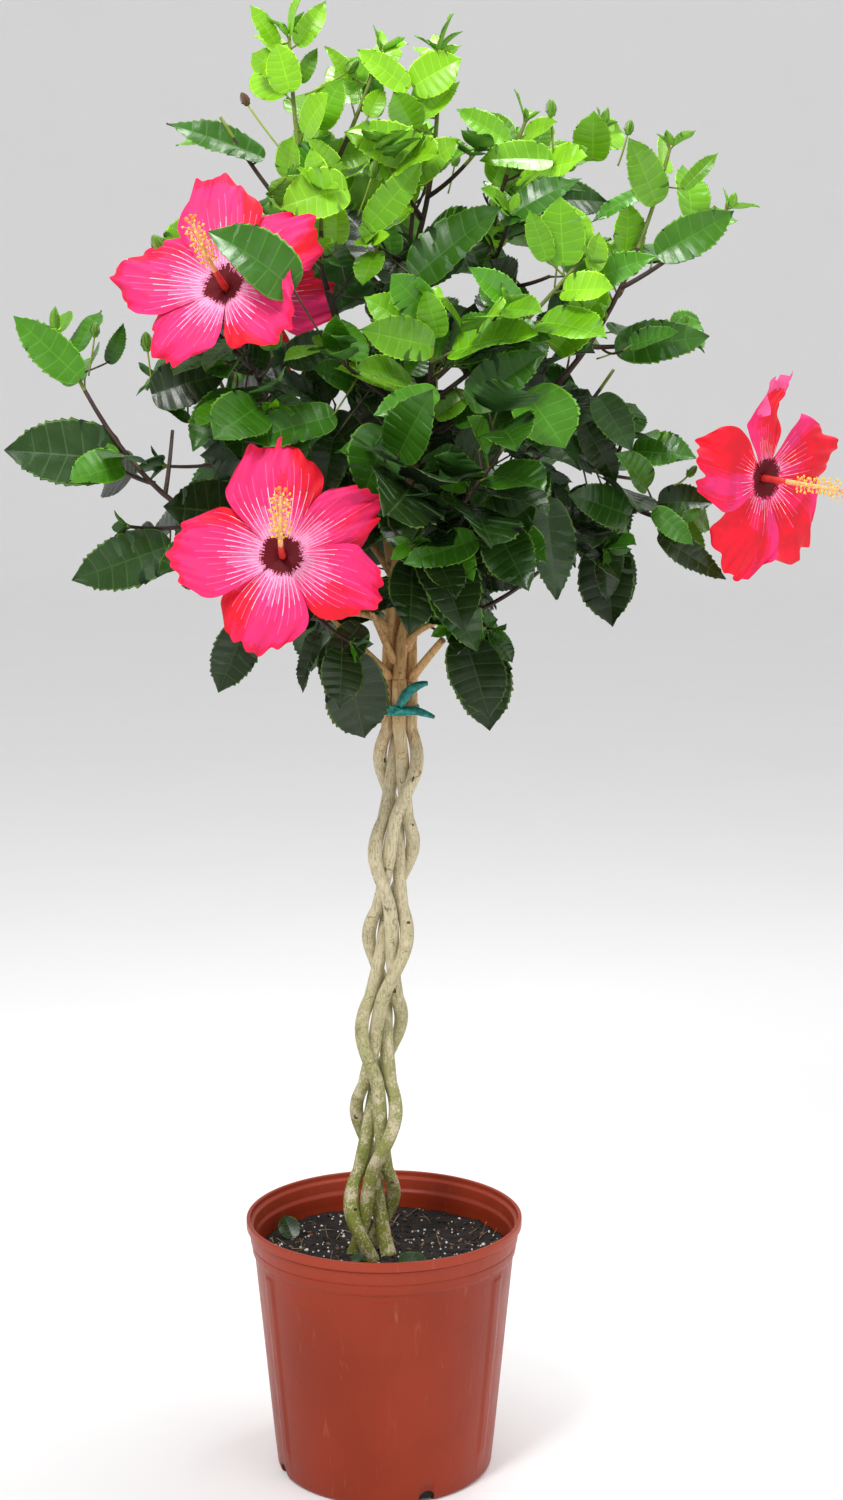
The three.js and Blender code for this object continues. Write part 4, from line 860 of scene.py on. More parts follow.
def grow_crown():
    """The whole crown: placed leaves, the shoots' own leaves, then sprigs on shoots and spurs on boughs."""
    space = Space()
    bed = Bed()
    for leaf in placed_leaves():
        points = leaf_points(leaf)
        if not bed.crosses(leaf, points):
            bed.add(leaf, points)
    shoots = []
    for number, (name, own) in enumerate(MASSES.items()):
        random = Seeded(number + 1)
        for shoot in own:
            fits = lambda points: space.free(points) and space.holds(points, name)
            grow_leaves(shoot, random, bed, fits, RETRY["tries"])
            shoots.append(shoot)
    boxes = {name: [np.array(corner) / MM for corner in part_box(name)] for name in MASSES}
    for number, (name, own) in enumerate(MASSES.items()):
        random = Seeded(number + 101)
        fits = lambda points: within(points, boxes[name]) and space.free(points) and space.holds(points, name)
        for shoot in own:
            count = max(2, round(shoot["line"].length / SPRIG["spacing"]))
            spots = (np.arange(count) + 0.5) / count * SPRIG["last"]
            places = shoot["line"].at(spots)[:, [0, 2]] - SPRIG["heart"]
            spots = spots[np.linalg.norm(places, axis=1) < SPRIG["reach"]]
            blade = max(SPRIG["least_blade"], shoot["blade"] * SPRIG["blade"])
            reach = (SPRIG["short"], SPRIG["long"])
            age = min(1, shoot["age"] + SPRIG["older"])
            shoots += grow_sprigs(
                shoot["line"], spots, random, bed, fits, blade, age, reach, SPRIG["lift"],
            )
    low = np.min([box[0] for box in boxes.values()], axis=0) + CROWN_MARGIN
    high = np.max([box[1] for box in boxes.values()], axis=0) - CROWN_MARGIN
    low[2] = CROWN_FLOOR
    for number, bough in enumerate(BOUGH.values()):
        random = Seeded(number + 201)
        fits = lambda points: within(points, (low, high)) and space.free(points[1:])
        count = round(bough["line"].length * (1 - SPUR["first"]) / SPUR["spacing"])
        spots = mix(SPUR["first"], 1, (np.arange(count) + 0.5) / count)
        reach = (SPUR["short"], SPUR["long"])
        shoots += grow_sprigs(
            bough["line"], spots, random, bed, fits, SPUR["blade"], SPUR["age"], reach, SPUR["lift"],
        )
    return shoots, bed.leaves


# ---------------- finishes


class Nodes:
    """Writes a material's nodes: each call makes a node, sets its values and joins its inputs."""

    def __init__(self, name):
        self.material = bpy.data.materials.new(name)
        self.material.use_nodes = True
        self.tree = self.material.node_tree
        self.shader = self.tree.nodes["Principled BSDF"]

    def make(self, kind, output=0, inputs=None, **settings):
        node = self.tree.nodes.new(kind)
        for key, value in settings.items():
            setattr(node, key, value)
        for key, value in (inputs or {}).items():
            self.join(value, node.inputs[key])
        return node.outputs[output]

    def join(self, value, socket):
        if isinstance(value, bpy.types.NodeSocket):
            self.tree.links.new(value, socket)
        elif hasattr(value, "__len__") and len(value) == 3 and socket.type == "RGBA":
            socket.default_value = (*value, 1)
        else:
            socket.default_value = value

    def surface(self, **sockets):
        """Sets the shader's sockets, named with underscores for spaces."""
        for key, value in sockets.items():
            self.join(value, self.shader.inputs[key.replace("_", " ")])
        return self.material

    def place(self):
        return self.make("ShaderNodeTexCoord", "Object")

    def noise(self, scale, detail=3, vector=None, distortion=0.0):
        return self.make("ShaderNodeTexNoise", inputs={
            "Vector": vector or self.place(), "Scale": scale, "Detail": detail, "Distortion": distortion,
        })

    def between(self, share, first, second):
        """A colour between two, by a share from 0 to 1."""
        return self.make("ShaderNodeMix", 2, {0: share, 6: first, 7: second}, data_type="RGBA")

    def ranged(self, value, low, high, to_low=0.0, to_high=1.0):
        inputs = {"Value": value, "From Min": low, "From Max": high, "To Min": to_low, "To Max": to_high}
        return self.make("ShaderNodeMapRange", inputs=inputs, interpolation_type="SMOOTHSTEP")

    def maths(self, operation, first, second=0.0):
        return self.make("ShaderNodeMath", inputs={0: first, 1: second}, operation=operation)

    def bump(self, height, strength, distance, under=None):
        inputs = {"Height": height, "Strength": strength, "Distance": distance}
        if under is not None:
            inputs["Normal"] = under
        return self.make("ShaderNodeBump", inputs=inputs)


def leaf_finish(name, colour, gloss, spread=0.25):
    """A leaf's skin: its colour wanders a little from leaf to leaf, and the skin is finely pitted."""
    nodes = Nodes(name)
    dark = tuple(c * (1 - spread) for c in colour)
    light = tuple(min(1, c * (1 + spread)) for c in colour)
    leaf_by_leaf = nodes.make("ShaderNodeNewGeometry", "Random Per Island")
    patch = nodes.noise(55, 2)
    share = nodes.maths("MULTIPLY", nodes.maths("ADD", leaf_by_leaf, patch), 0.5)
    skin = nodes.bump(nodes.noise(900, 2), 0.25, 0.0004)
    return nodes.surface(
        Base_Color=nodes.between(nodes.ranged(share, 0.2, 0.8), dark, light),
        Roughness=nodes.ranged(patch, 0.3, 0.7, gloss, gloss + 0.14),
        Specular_IOR_Level=0.38, Normal=skin,
    )


def plain_finish(name, colour, roughness, grain=400, depth=0.0003, spread=0.2):
    """A finish with a wandering tone and a fine grain."""
    nodes = Nodes(name)
    grains = nodes.noise(grain, 3)
    dark = tuple(c * (1 - spread) for c in colour)
    light = tuple(min(1, c * (1 + spread)) for c in colour)
    return nodes.surface(
        Base_Color=nodes.between(nodes.ranged(nodes.noise(grain / 6, 3), 0.35, 0.65), dark, light),
        Roughness=nodes.ranged(grains, 0.3, 0.7, roughness - 0.06, roughness + 0.06),
        Normal=nodes.bump(grains, 0.4, depth),
    )


def bark_finish(name, low_colour, high_colour, low, high, moss):
    """Bark whose colour changes with height, with streaks, specks, rings and green near the foot."""
    nodes = Nodes(name)
    place = nodes.place()
    height = nodes.make("ShaderNodeSeparateXYZ", 2, {0: place})
    stretch = nodes.make("ShaderNodeMapping", inputs={"Vector": place, "Scale": (1, 1, 0.16)})
    grain = nodes.noise(620, 4, stretch, 0.4)
    blotch = nodes.noise(70, 3, place)
    rising = nodes.maths("ADD", height, nodes.maths("MULTIPLY", nodes.maths("SUBTRACT", blotch, 0.5), 0.09))
    bark = nodes.between(nodes.ranged(rising, low * MM, high * MM), low_colour, high_colour)
    darker = nodes.make("ShaderNodeHueSaturation", inputs={"Value": 0.5, "Saturation": 1.2, "Color": bark})
    clouds = nodes.ranged(nodes.noise(36, 4, place, 0.6), 0.45, 0.72, 0, 0.45)
    streaks = nodes.maths("MAXIMUM", nodes.ranged(grain, 0.42, 0.66, 0, 0.7), clouds)
    streaked = nodes.between(streaks, bark, darker)
    cells = nodes.make("ShaderNodeTexVoronoi", inputs={"Vector": place, "Scale": 300.0})
    specks = nodes.maths("MULTIPLY", nodes.ranged(cells, 0.26, 0.1), nodes.ranged(blotch, 0.4, 0.54))
    bands = nodes.make("ShaderNodeTexWave", 1, {
        "Vector": place, "Scale": 13.0, "Distortion": 14.0, "Detail": 3.0, "Detail Scale": 3.0,
    }, bands_direction="Z")
    rings = nodes.maths("MULTIPLY", nodes.ranged(bands, 0.95, 0.995), nodes.ranged(blotch, 0.52, 0.66))
    scars = nodes.maths("MULTIPLY", nodes.maths("MAXIMUM", specks, rings), 0.7)
    colour = nodes.between(scars, streaked, linear(84, 64, 40))
    if moss:
        tufts = nodes.maths("MULTIPLY", nodes.noise(70, 4, place), nodes.noise(520, 3, place))
        near_foot = nodes.ranged(height, 0.6, 0.21)
        share = nodes.maths("MULTIPLY", nodes.ranged(tufts, 0.17, 0.27), near_foot)
        colour = nodes.between(share, colour, moss)
    fine = nodes.bump(grain, 0.6, 0.0008)
    return nodes.surface(
        Base_Color=colour, Roughness=nodes.ranged(blotch, 0.3, 0.7, 0.62, 0.78),
        Normal=nodes.bump(scars, 0.6, -0.0007, fine),
    )


def petal_finish(name, colour, spread=0.1):
    """One tone of a petal: soft and crepe-like, and a little deeper in cloudy patches."""
    nodes = Nodes(name)
    deep = tuple(c * (1 - spread) for c in colour)
    light = tuple(min(1, c * (1 + spread)) for c in colour)
    cloud = nodes.noise(60, 3)
    return nodes.surface(
        Base_Color=nodes.between(nodes.ranged(cloud, 0.35, 0.65), deep, light),
        Roughness=nodes.ranged(cloud, 0.3, 0.7, 0.55, 0.68), Specular_IOR_Level=0.25,
        Normal=nodes.bump(nodes.noise(420, 3), 0.35, 0.0006),
    )


# ---------------- settings


def colour_setting(name, description, default):
    return bpy.props.FloatVectorProperty(
        name=name, description=description, default=default, subtype="COLOR", size=3, min=0, max=1,
    )


def length_setting(name, description, default, high):
    return bpy.props.FloatProperty(
        name=name, description=description, default=default, min=0, max=high,
        subtype="DISTANCE", unit="LENGTH", precision=4,
    )


class HibiscusPotSettings(bpy.types.PropertyGroup):
    colour: colour_setting("Pot", "Colour of the moulded pot", linear(148, 48, 20))
    ribs: bpy.props.IntProperty(
        name="Ribs", description="Upright ribs round the pot", default=6, min=3, max=12,
    )
    rib_height: length_setting("Rib height", "How far a rib stands out", 0.0013, 0.004)


class HibiscusMixSettings(bpy.types.PropertyGroup):
    colour: colour_setting("Mix", "Colour of the moist potting mix", linear(26, 20, 18))
    perlite: bpy.props.IntProperty(name="Perlite", description="Number of white grains", default=260, min=0)
    chips: bpy.props.IntProperty(name="Chips", description="Number of bark chips", default=700, min=0)
    fibres: bpy.props.IntProperty(name="Fibres", description="Number of pale fibres", default=70, min=0)


class HibiscusBarkSettings(bpy.types.PropertyGroup):
    stem: colour_setting("Stem", "Pale bark of the plaited stems", linear(206, 194, 160))
    # The fork's tan is partly the bark's own colour and partly painted light: it is made lighter to offset
    # the shade the crown casts on the fork.
    fork: colour_setting("Fork", "Tan bark at the fork", linear(212, 168, 112))
    bough: colour_setting("Bough", "Dark bark of the boughs in the crown", linear(66, 46, 38))
    moss: colour_setting("Moss", "Green bloom on the bark near the mix", linear(122, 130, 44))
    relief: length_setting("Relief", "Height of the bark's ridges", 0.00035, 0.002)


class HibiscusLeafSettings(bpy.types.PropertyGroup):
    # The old and dark greens are partly painted shade: tone_of also gives them to leaves low in the crown, as
    # if shaded from above.
    old: colour_setting("Old", "Leaf deep in the crown", linear(28, 48, 14))
    dark: colour_setting("Dark", "Older leaf", linear(34, 66, 16))
    grown: colour_setting("Grown", "Full-grown leaf", linear(50, 98, 18))
    fresh: colour_setting("Fresh", "Leaf that has just filled out", linear(68, 128, 18))
    young: colour_setting("Young", "Soft leaf near a shoot's tip", linear(98, 156, 20))
    newest: colour_setting("Newest", "Unfolding leaf at a shoot's tip", linear(126, 186, 28))
    tooth: length_setting("Tooth", "Depth of the teeth on a leaf's edge", 0.0015, 0.006)
    quilt: length_setting("Quilting", "Rise of the blade between its side veins", 0.0013, 0.004)


class HibiscusBloomSettings(bpy.types.PropertyGroup):
    eye: colour_setting("Eye", "Dark ring at the throat", linear(96, 0, 14))
    throat: colour_setting("Throat", "Pale ring round the eye", linear(244, 140, 186))
    vein: colour_setting("Vein", "Pale veins that fan out from the throat", linear(252, 214, 230))
    light: colour_setting("Light", "Between the throat and the body", linear(242, 92, 150))
    pink: colour_setting("Pink", "Main colour of a petal", linear(238, 44, 112))
    rose: colour_setting("Rose", "Between the pink and the red", linear(238, 30, 80))
    red: colour_setting("Red", "Red side of a petal", linear(230, 20, 44))
    ruffle: length_setting("Ruffle", "Height of the waves on a petal's edge", 0.0048, 0.012)


class HibiscusStageSettings(bpy.types.PropertyGroup):
    floor: colour_setting("Floor", "Colour of the floor and backdrop", (0.94, 0.94, 0.94))
    daylight: bpy.props.FloatProperty(name="Daylight", description="Strength of the sky", default=0.68, min=0)
    key: bpy.props.FloatProperty(
        name="Key", description="Power of the main lamp", default=41, min=0, unit="POWER",
    )


# ---------------- pot and potting mix


POT_MESH = {"columns": 360, "rounding": 1.1, "long_wall": 40, "wall_steps": 26}


def wall_radius(z):
    return POT["foot"] + POT["taper"] * z


def rounded(points, radius, steps=4):
    """A profile of [radius, height] points with its inner corners turned into small arcs."""
    points = [np.array(p, float) for p in points]
    shaped = [points[0]]
    for before, corner, after in zip(points, points[1:], points[2:]):
        reach = min(radius, np.linalg.norm(corner - before) * 0.45, np.linalg.norm(after - corner) * 0.45)
        start = corner + unit(before - corner) * reach
        end = corner + unit(after - corner) * reach
        shaped += list(Line(start, corner, end).raw(np.linspace(0, 1, steps)))
    return np.array(shaped + [points[-1]])


def rib_share(z):
    """How far the ribs stand out at a height: they fade in near the foot and out under the bands."""
    return smooth((z - RIB["low"] + 6) / 8) * smooth((RIB["high"] + 2 - z) / 3)


def pot_mesh(settings):
    """The pot's wall turned round its axis, with ribs, bands, a rolled lip and a stepped inside."""
    step = wall_radius(BANDS["step"])
    inner = LIP["radius"] - LIP["width"]
    outside = [
        (0.5, 1.2), (POT["foot"] - 16, 1.2), (POT["foot"] - 13, 0), (POT["foot"] - POT["bevel"], 0),
        (POT["foot"], POT["bevel"]), (wall_radius(RIB["low"]), RIB["low"]),
        (wall_radius(RIB["high"]), RIB["high"]), (wall_radius(BANDS["low"]), BANDS["low"]),
        (wall_radius(BANDS["low"]) + BANDS["low_proud"], BANDS["low"] + 1.5),
        (step + BANDS["low_proud"], BANDS["step"] - 1), (step + 1.2, BANDS["step"]),
        (step + BANDS["high_proud"], BANDS["step"] + 1),
        (wall_radius(BANDS["high"]) + BANDS["high_proud"], BANDS["high"]),
        (wall_radius(BANDS["high"]) + 1.6, BANDS["high"] + 0.8), (LIP["radius"], LIP["low"]),
        (LIP["radius"], POT["height"]),
    ]
    inside = [
        (inner, POT["height"]), (inner, POT["height"] - 5), (inner - 3.2, POT["height"] - 6.5),
        (step - POT["wall"] + 1, BANDS["step"] + 6), (step - POT["wall"] - 1.2, BANDS["step"] + 3),
        (step - POT["wall"] - 0.8, BANDS["low"] + 3),
        (wall_radius(SOIL_TOP) - POT["wall"], SOIL_TOP - 2),
        (wall_radius(POT["floor"]) - POT["wall"], POT["floor"]), (0.5, POT["floor"]),
    ]
    profile = rounded(outside + inside, POT_MESH["rounding"])
    columns = POT_MESH["columns"]
    degrees = np.arange(columns) * 360 / columns
    period = 360 / settings.ribs
    from_rib = np.abs((degrees + 90 + period / 2) % period - period / 2)
    rib = smooth((RIB["foot"] + 0.4 - from_rib) / (RIB["foot"] - RIB["face"] + 0.8))
    rib = rib * settings.rib_height / MM
    wall = len(rounded(outside, POT_MESH["rounding"])) - 1
    upright = rib_share(profile[:, 1])
    upright[wall:] = 0
    filled = []
    for row, (radius, height) in enumerate(profile):
        filled.append((radius, height, upright[row]))
        follower = profile[min(row + 1, len(profile) - 1)]
        if row < wall and follower[1] - height > POT_MESH["long_wall"]:
            for share in np.linspace(0, 1, POT_MESH["wall_steps"])[1:-1]:
                r, z = mix(profile[row], follower, share)
                filled.append((r, z, rib_share(z)))
    rows = np.array(filled)
    angles = np.radians(degrees)
    radii = rows[:, 0:1] + rows[:, 2:3] * rib[None]
    points = np.stack([
        radii * np.cos(angles), radii * np.sin(angles), np.broadcast_to(rows[:, 1:2], radii.shape),
    ], axis=-1)
    shape = Joined()
    shape.add(points.reshape(-1, 3), grid_quads(len(rows), columns, closed=True))
    return shape


def drill_drains(pot):
    """Cuts the drain holes through the foot of the wall."""
    cutter_mesh = bmesh.new()
    for number in range(DRAIN["count"]):
        angle = math.radians(DRAIN["first_angle"] + number * 360 / DRAIN["count"] - 90)
        way = vec(math.cos(angle), math.sin(angle), 0)
        centre = way * POT["foot"] + UP * DRAIN["height"]
        points, quads = tube([centre - way * DRAIN["depth"] / 2, centre + way * DRAIN["depth"] / 2],
                             DRAIN["radius"], 28)
        corners = [cutter_mesh.verts.new(p * MM) for p in points]
        for quad in quads:
            cutter_mesh.faces.new([corners[i] for i in quad])
    bmesh.ops.recalc_face_normals(cutter_mesh, faces=cutter_mesh.faces)
    mesh = bpy.data.meshes.new("drain_cutter")
    cutter_mesh.to_mesh(mesh)
    cutter_mesh.free()
    cutter = bpy.data.objects.new("drain_cutter", mesh)
    bpy.context.scene.collection.objects.link(cutter)
    apply_modifier(pot, "BOOLEAN", operation="DIFFERENCE", object=cutter, solver="EXACT")
    bpy.data.objects.remove(cutter)


def apply_modifier(piece, kind, **settings):
    """Adds a modifier to a piece and keeps its result as the piece's own mesh."""
    modifier = piece.modifiers.new(kind.title(), kind)
    for key, value in settings.items():
        setattr(modifier, key, value)
    shaped = bpy.data.meshes.new_from_object(piece.evaluated_get(bpy.context.evaluated_depsgraph_get()))
    piece.modifiers.clear()
    piece.data = shaped


def cap_and_wind(piece):
    """Closes any open ring of a mesh and turns its faces outward."""
    shape = bmesh.new()
    shape.from_mesh(piece.data)
    bmesh.ops.holes_fill(shape, edges=[e for e in shape.edges if e.is_boundary], sides=0)
    bmesh.ops.recalc_face_normals(shape, faces=shape.faces)
    shape.to_mesh(piece.data)
    shape.free()


def lumps(x, y):
    """The height of the mix's loose surface over its level."""
    waves = [
        (0.055, 0.03, 1.3), (0.021, 0.071, 0.4), (0.11, 0.083, 2.1), (0.16, 0.19, 4.0),
        (0.29, 0.23, 5.2),
    ]
    total = sum(np.sin(a * x + b * y + c) * np.cos(b * x - a * y + 2 * c) for a, b, c in waves)
    return 0.75 * total


def mix_height(x, y):
    radius = np.hypot(x, y)
    edge = wall_radius(SOIL_TOP) - POT["wall"]
    bank = SOIL_BANK["rise"] * np.clip((radius - SOIL_BANK["radius"]) / (edge - SOIL_BANK["radius"]), 0, 1)
    return SOIL_TOP + bank + lumps(x, y)


def mix_surface():
    """The mix from its underside to its loose top, as one closed turned shape."""
    rings = [(radius, None) for radius in np.linspace(0.6, wall_radius(SOIL_TOP) - POT["wall"] - GAP, 74)]
    low = POT["floor"] + GAP
    rings += [(wall_radius(low) - POT["wall"] - GAP, low), (0.6, low)]
    angles = np.arange(240) / 240 * TURN
    rows = []
    for radius, height in rings:
        x, y = radius * np.cos(angles), radius * np.sin(angles)
        z = mix_height(x, y) if height is None else np.full(len(angles), height)
        rows.append(np.stack([x, y, z], axis=-1))
    shape = Joined()
    shape.add(np.array(rows).reshape(-1, 3), grid_quads(len(rows), len(angles), closed=True))
    return shape


def mix_bits(settings):
    """Loose bits on the mix: perlite, bark chips and fibres."""
    random = Seeded(77)
    bits = Joined()
    edge = wall_radius(SOIL_TOP) - POT["wall"] - 4

    def spot():
        radius, angle = edge * math.sqrt(random()), random() * TURN
        x, y = radius * math.cos(angle), radius * math.sin(angle)
        return vec(x, y, mix_height(x, y) + 0.4)

    def way():
        return unit(vec(random() - 0.5, random() - 0.5, 0.35 * (random() - 0.3)))

    for _ in range(settings.chips):
        size = random.between(1, 3.4)
        bits.add(*ball(spot(), (size * 0.55, size), way(), 4, 5), 0 if random() < 0.72 else 1)
    for _ in range(settings.perlite):
        size = random.between(0.6, 1.0) + 1.1 * random() ** 6
        bits.add(*ball(spot() + UP * 0.5, (size, size * random.between(0.8, 1.2)), way(), 5, 6), 2)
    for _ in range(settings.fibres):
        start, ahead = spot() + UP, way()
        bend = start + ahead * 6 + UP * random.between(0, 2)
        end = bend + unit(ahead + way() * 0.8) * random.between(5, 11) - UP * 0.8
        bits.add(*tube(Line(start, bend, end).at(np.linspace(0, 1, 6)), random.between(0.25, 0.5), 4), 3)
    return bits


# ---------------- bark


# Old leaf scars and knots on the stems: the stem, the height, the side it shows on and the size.
KNOTS = [
    ("stem_left", 455, -100, 5), ("stem_front", 520, -80, 4.5), ("stem_right", 610, -70, 4),
    ("stem_left", 690, -95, 4), ("stem_front", 330, -110, 4.5), ("stem_back", 560, 80, 5),
    ("stem_right", 400, 60, 4.5), ("stem_back", 300, 120, 4), ("stem_front", 668, -60, 3.5),
    ("stem_left", 250, -60, 4), ("stem_right", 270, -90, 4.5), ("stem_back", 655, -100, 4),
]
KNOT = {"swell": 1.1, "dent": 1.0, "dent_share": 0.42, "dark_share": 0.4}


def bark_relief(random, angles, heights, depth):
    """Long low ridges that run up the bark and fade in and out."""
    relief = np.zeros((len(heights), len(angles)))
    for _ in range(9):
        folds, drift, phase = round(random.between(3, 11)), random.between(-0.012, 0.012), random() * TURN
        fade = 0.5 + 0.5 * np.sin(heights * random.between(0.015, 0.05) + random() * TURN)
        relief += fade[:, None] * np.sin(folds * angles[None] + drift * heights[:, None] * folds + phase)
    return relief * depth / 3


def stem_shape(name, depth):
    """One plaited stem with its bark's ridges, swellings and knots."""
    random = Seeded(len(name) * 31 + ord(name[5]))
    angles = np.arange(26) / 26 * TURN
    heights = np.linspace(SOIL_TOP - 2, FORK + 4, 250)
    centres = stem_centre(name, heights)
    radii = stem_radius(np.maximum(heights, SOIL_TOP))[:, None] * BARK_SHARE["stem"]
    radii = radii + bark_relief(random, angles, heights, depth)
    radii += 0.22 * np.sin(heights * 0.09 + random() * TURN)[:, None]
    marks = np.zeros((len(heights) - 1, len(angles)), int)
    for stem, height, side, size in KNOTS:
        if stem != name:
            continue
        round_by = ((angles[None] - math.radians(side)) + math.pi) % TURN - math.pi
        away = np.hypot(heights[:, None] - height, round_by * STEM["base"])
        swell = KNOT["swell"] * np.exp(-(away / size) ** 2)
        dent = KNOT["dent"] * np.exp(-(away / (size * KNOT["dent_share"])) ** 2)
        radii += swell - dent
        marks[away[:-1] < size * KNOT["dark_share"]] = 1
    ring = np.stack([np.cos(angles), np.sin(angles), np.zeros(len(angles))], axis=-1)
    points = centres[:, None] + ring[None] * radii[..., None]
    return points.reshape(-1, 3), grid_quads(len(heights), len(angles), closed=True), marks.ravel()


def bough_shape(bough, depth):
    """One bough as a tapering limb with ridges and low rings where old leaves were."""
    line = bough["line"]
    count = max(24, round(line.length / 3))
    shares = np.linspace(0, 1, count)
    line_points = line.at(shares)
    random = Seeded(round(line.length))
    angles = np.arange(14) / 14 * TURN
    radii = mix(bough["radii"][0], bough["radii"][1], shares)[:, None] * BARK_SHARE["bough"]
    radii = radii + bark_relief(random, angles, shares * line.length, depth * 0.8)
    radii += 0.35 * np.exp(-(((shares * line.length) % 27 - 13) / 1.8) ** 2)[:, None]
    across, over = ring_frames(line_points)
    points = line_points[:, None] + spokes(across, over, angles) * radii[..., None]
    return points.reshape(-1, 3), grid_quads(count, len(angles), closed=True)


# ---------------- leaves


TONES = ("old", "dark", "grown", "fresh", "young", "newest")
TONE_LIMITS = (0.74, 0.56, 0.38, 0.22, 0.09)
# The height entry is painted shade and light: it moves leaves low in the crown to darker greens and leaves
# high in it to lighter greens.
TONE_BY = {"low": 900, "span": 330, "vigour": 0.3, "height": 0.22}
LEAF_PARTS = ("blade", "rib", "edge", "under")
BLADE, MIDRIB, EDGE, UNDER = range(4)
BUD = {"bracts": 7, "sepals": 5, "sepal_rows": 7}


def lay_blade():
    """A blade's rows, the height of the tooth at each, and its faces with the part that each shows.

    A row is a share of the blade's length. Each side vein is a narrow strip between two rows. The
    top has eight columns, and the underside shares its rims and adds one column along the rib.
    """
    rows = [(0.0003, 0), (0.012, 0), (0.04, 0)]
    for vein, after in zip(SIDE_VEINS, SIDE_VEINS[1:] + (0.87,)):
        rows += [(vein - VEIN_HALF, 1), (vein + VEIN_HALF, -0.4)]
        rows += [(mix(vein, after, 0.4), 1), (mix(vein, after, 0.55), -0.4)]
    rows += [(0.87, 0.6), (0.9, -0.3), (0.9985, 0)]
    shares, teeth = np.array(rows).T
    count, columns = len(shares), len(BLADE_COLUMNS)
    top = grid_quads(count, columns)
    marks = np.tile([EDGE, BLADE, BLADE, MIDRIB, BLADE, BLADE, EDGE], (count - 1, 1))
    in_vein = np.diff(shares) < 2.5 * VEIN_HALF
    in_vein[:3] = False
    marks[np.ix_(in_vein, [1, 2, 4, 5])] = MIDRIB
    row = np.arange(count - 1)
    left, right, rib = row * columns, row * columns + columns - 1, count * columns + row
    under = np.concatenate([
        np.stack([rib, left, left + columns, rib + 1], axis=-1),
        np.stack([right, rib, rib + 1, right + columns], axis=-1),
    ])
    quads = np.concatenate([top, under])
    return shares[:, None], teeth[:, None], quads, np.concatenate([marks.ravel(), np.full(len(under), UNDER)])


BLADE_SHARES, BLADE_TEETH, BLADE_QUADS, BLADE_MARKS = lay_blade()
LEAVES_IN_PIECE = TRIANGLES_IN_PIECE // (2 * len(BLADE_QUADS))


def blade_shape(leaf, random, tooth, quilt):
    """A leaf's blade: folded on its rib, quilted between its side veins and toothed on its edge."""
    t = BLADE_SHARES
    u = BLADE_COLUMNS[None]
    size = leaf["length"] / USUAL_LEAF
    half = LEAF["half_width"] * leaf["width"] * outline(t)
    uneven = 0.8 + 0.45 * np.sin(t * 31 + random() * TURN)
    toothed = BLADE_TEETH * uneven * smooth((t - 0.12) / 0.2) * np.abs(u) ** 9 * tooth * size
    x = u * half + np.sign(u) * toothed
    sweep = mix(-0.28, 0.5, smooth(t / 0.45)) * (1 - smooth((t - 0.72) / 0.28))
    y = t * leaf["length"] + sweep * np.abs(u) * half * 0.55 + np.abs(toothed) * 0.4
    fold = LEAF["fold"] * random.between(0.4, 2.1)
    droop = LEAF["droop"] * random.between(0.2, 2.0)
    wave = random.between(0.8, 2.6) * size
    phase = random() * TURN
    step = np.interp(t, (0, *SIDE_VEINS, 1), np.arange(len(SIDE_VEINS) + 2))
    bulge = (np.abs(np.sin(math.pi * step)) - 0.4) * quilt * size
    z = fold * np.abs(x) - droop * t**2.2 * leaf["length"]
    z = z + bulge * np.sin(np.abs(u) * math.pi * 0.94) * smooth(t / 0.1) * (1 - smooth((t - 0.8) / 0.2))
    z = z + wave * u**2 * np.sin(t * 9 + phase + np.sign(u) * 1.1) * smooth(t / 0.2)
    z = z - quilt * 0.5 * size * (np.abs(u) < 0.1)
    twist = random.between(-0.4, 0.4) * t
    x, z = x * np.cos(twist) - z * np.sin(twist), x * np.sin(twist) + z * np.cos(twist)
    top = (leaf["base"] + x[..., None] * leaf["side"] + y[..., None] * leaf["way"]
           + z[..., None] * leaf["normal"])
    middle = (top[:, 3] + top[:, 4]) / 2 - LEAF_THICK * leaf["normal"]
    return np.concatenate([top.reshape(-1, 3), middle])


def tone_of(leaf):
    """Which of the six greens a leaf takes: by its age, its height and its own vigour. The height part is
    painted shade and light: lower leaves take darker greens and higher ones lighter greens.
    """
    height = np.clip((leaf["base"][2] - TONE_BY["low"]) / TONE_BY["span"], 0, 1)
    age = leaf["age"] + TONE_BY["vigour"] * (leaf["vigour"] - 0.5) + TONE_BY["height"] * (0.5 - height)
    return sum(age < limit for limit in TONE_LIMITS)


def petiole_shape(leaf):
    """A leaf's stalk, from its twig into the foot of the blade."""
    start = leaf["root"]
    reach = np.linalg.norm(leaf["base"] - start)
    bend = mix(start, leaf["base"], 0.5) + unit(leaf["stalk_way"] - UP * 0.2) * reach * 0.06
    line = Line(start, bend, leaf["base"] + leaf["way"] * 2).at(np.linspace(0, 1, 5))
    return tube(line, [1.2, 0.95, 0.85, 0.9, 0.75], 5)


def tip_leaves(shoot, random):
    """The small unfolding leaves round a shoot's tip."""
    way = shoot["line"].way(1)
    tip = shoot["line"].at(1)
    level = unit(np.cross(way, vec(0.2, 0.9, 0.1)))
    over = np.cross(way, level)
    made = []
    for number in range(4):
        angle = number * LEAF["phyllotaxis"] + random() * 0.5
        radial = turned(level, over, angle)
        length = random.between(14, 30) * (1 - 0.12 * number)
        ahead = unit(way * random.between(0.7, 1.5) + radial)
        normal = unit(way - ahead * way.dot(ahead) + 1e-6)
        made.append({
            "root": tip - way * 2, "base": tip + ahead * 3, "way": ahead, "stalk_way": ahead,
            "normal": normal, "side": np.cross(normal, ahead), "length": length, "width": length * 0.55,
            "vigour": random(), "age": shoot["age"] * 0.45 - 0.1,
        })
    return made


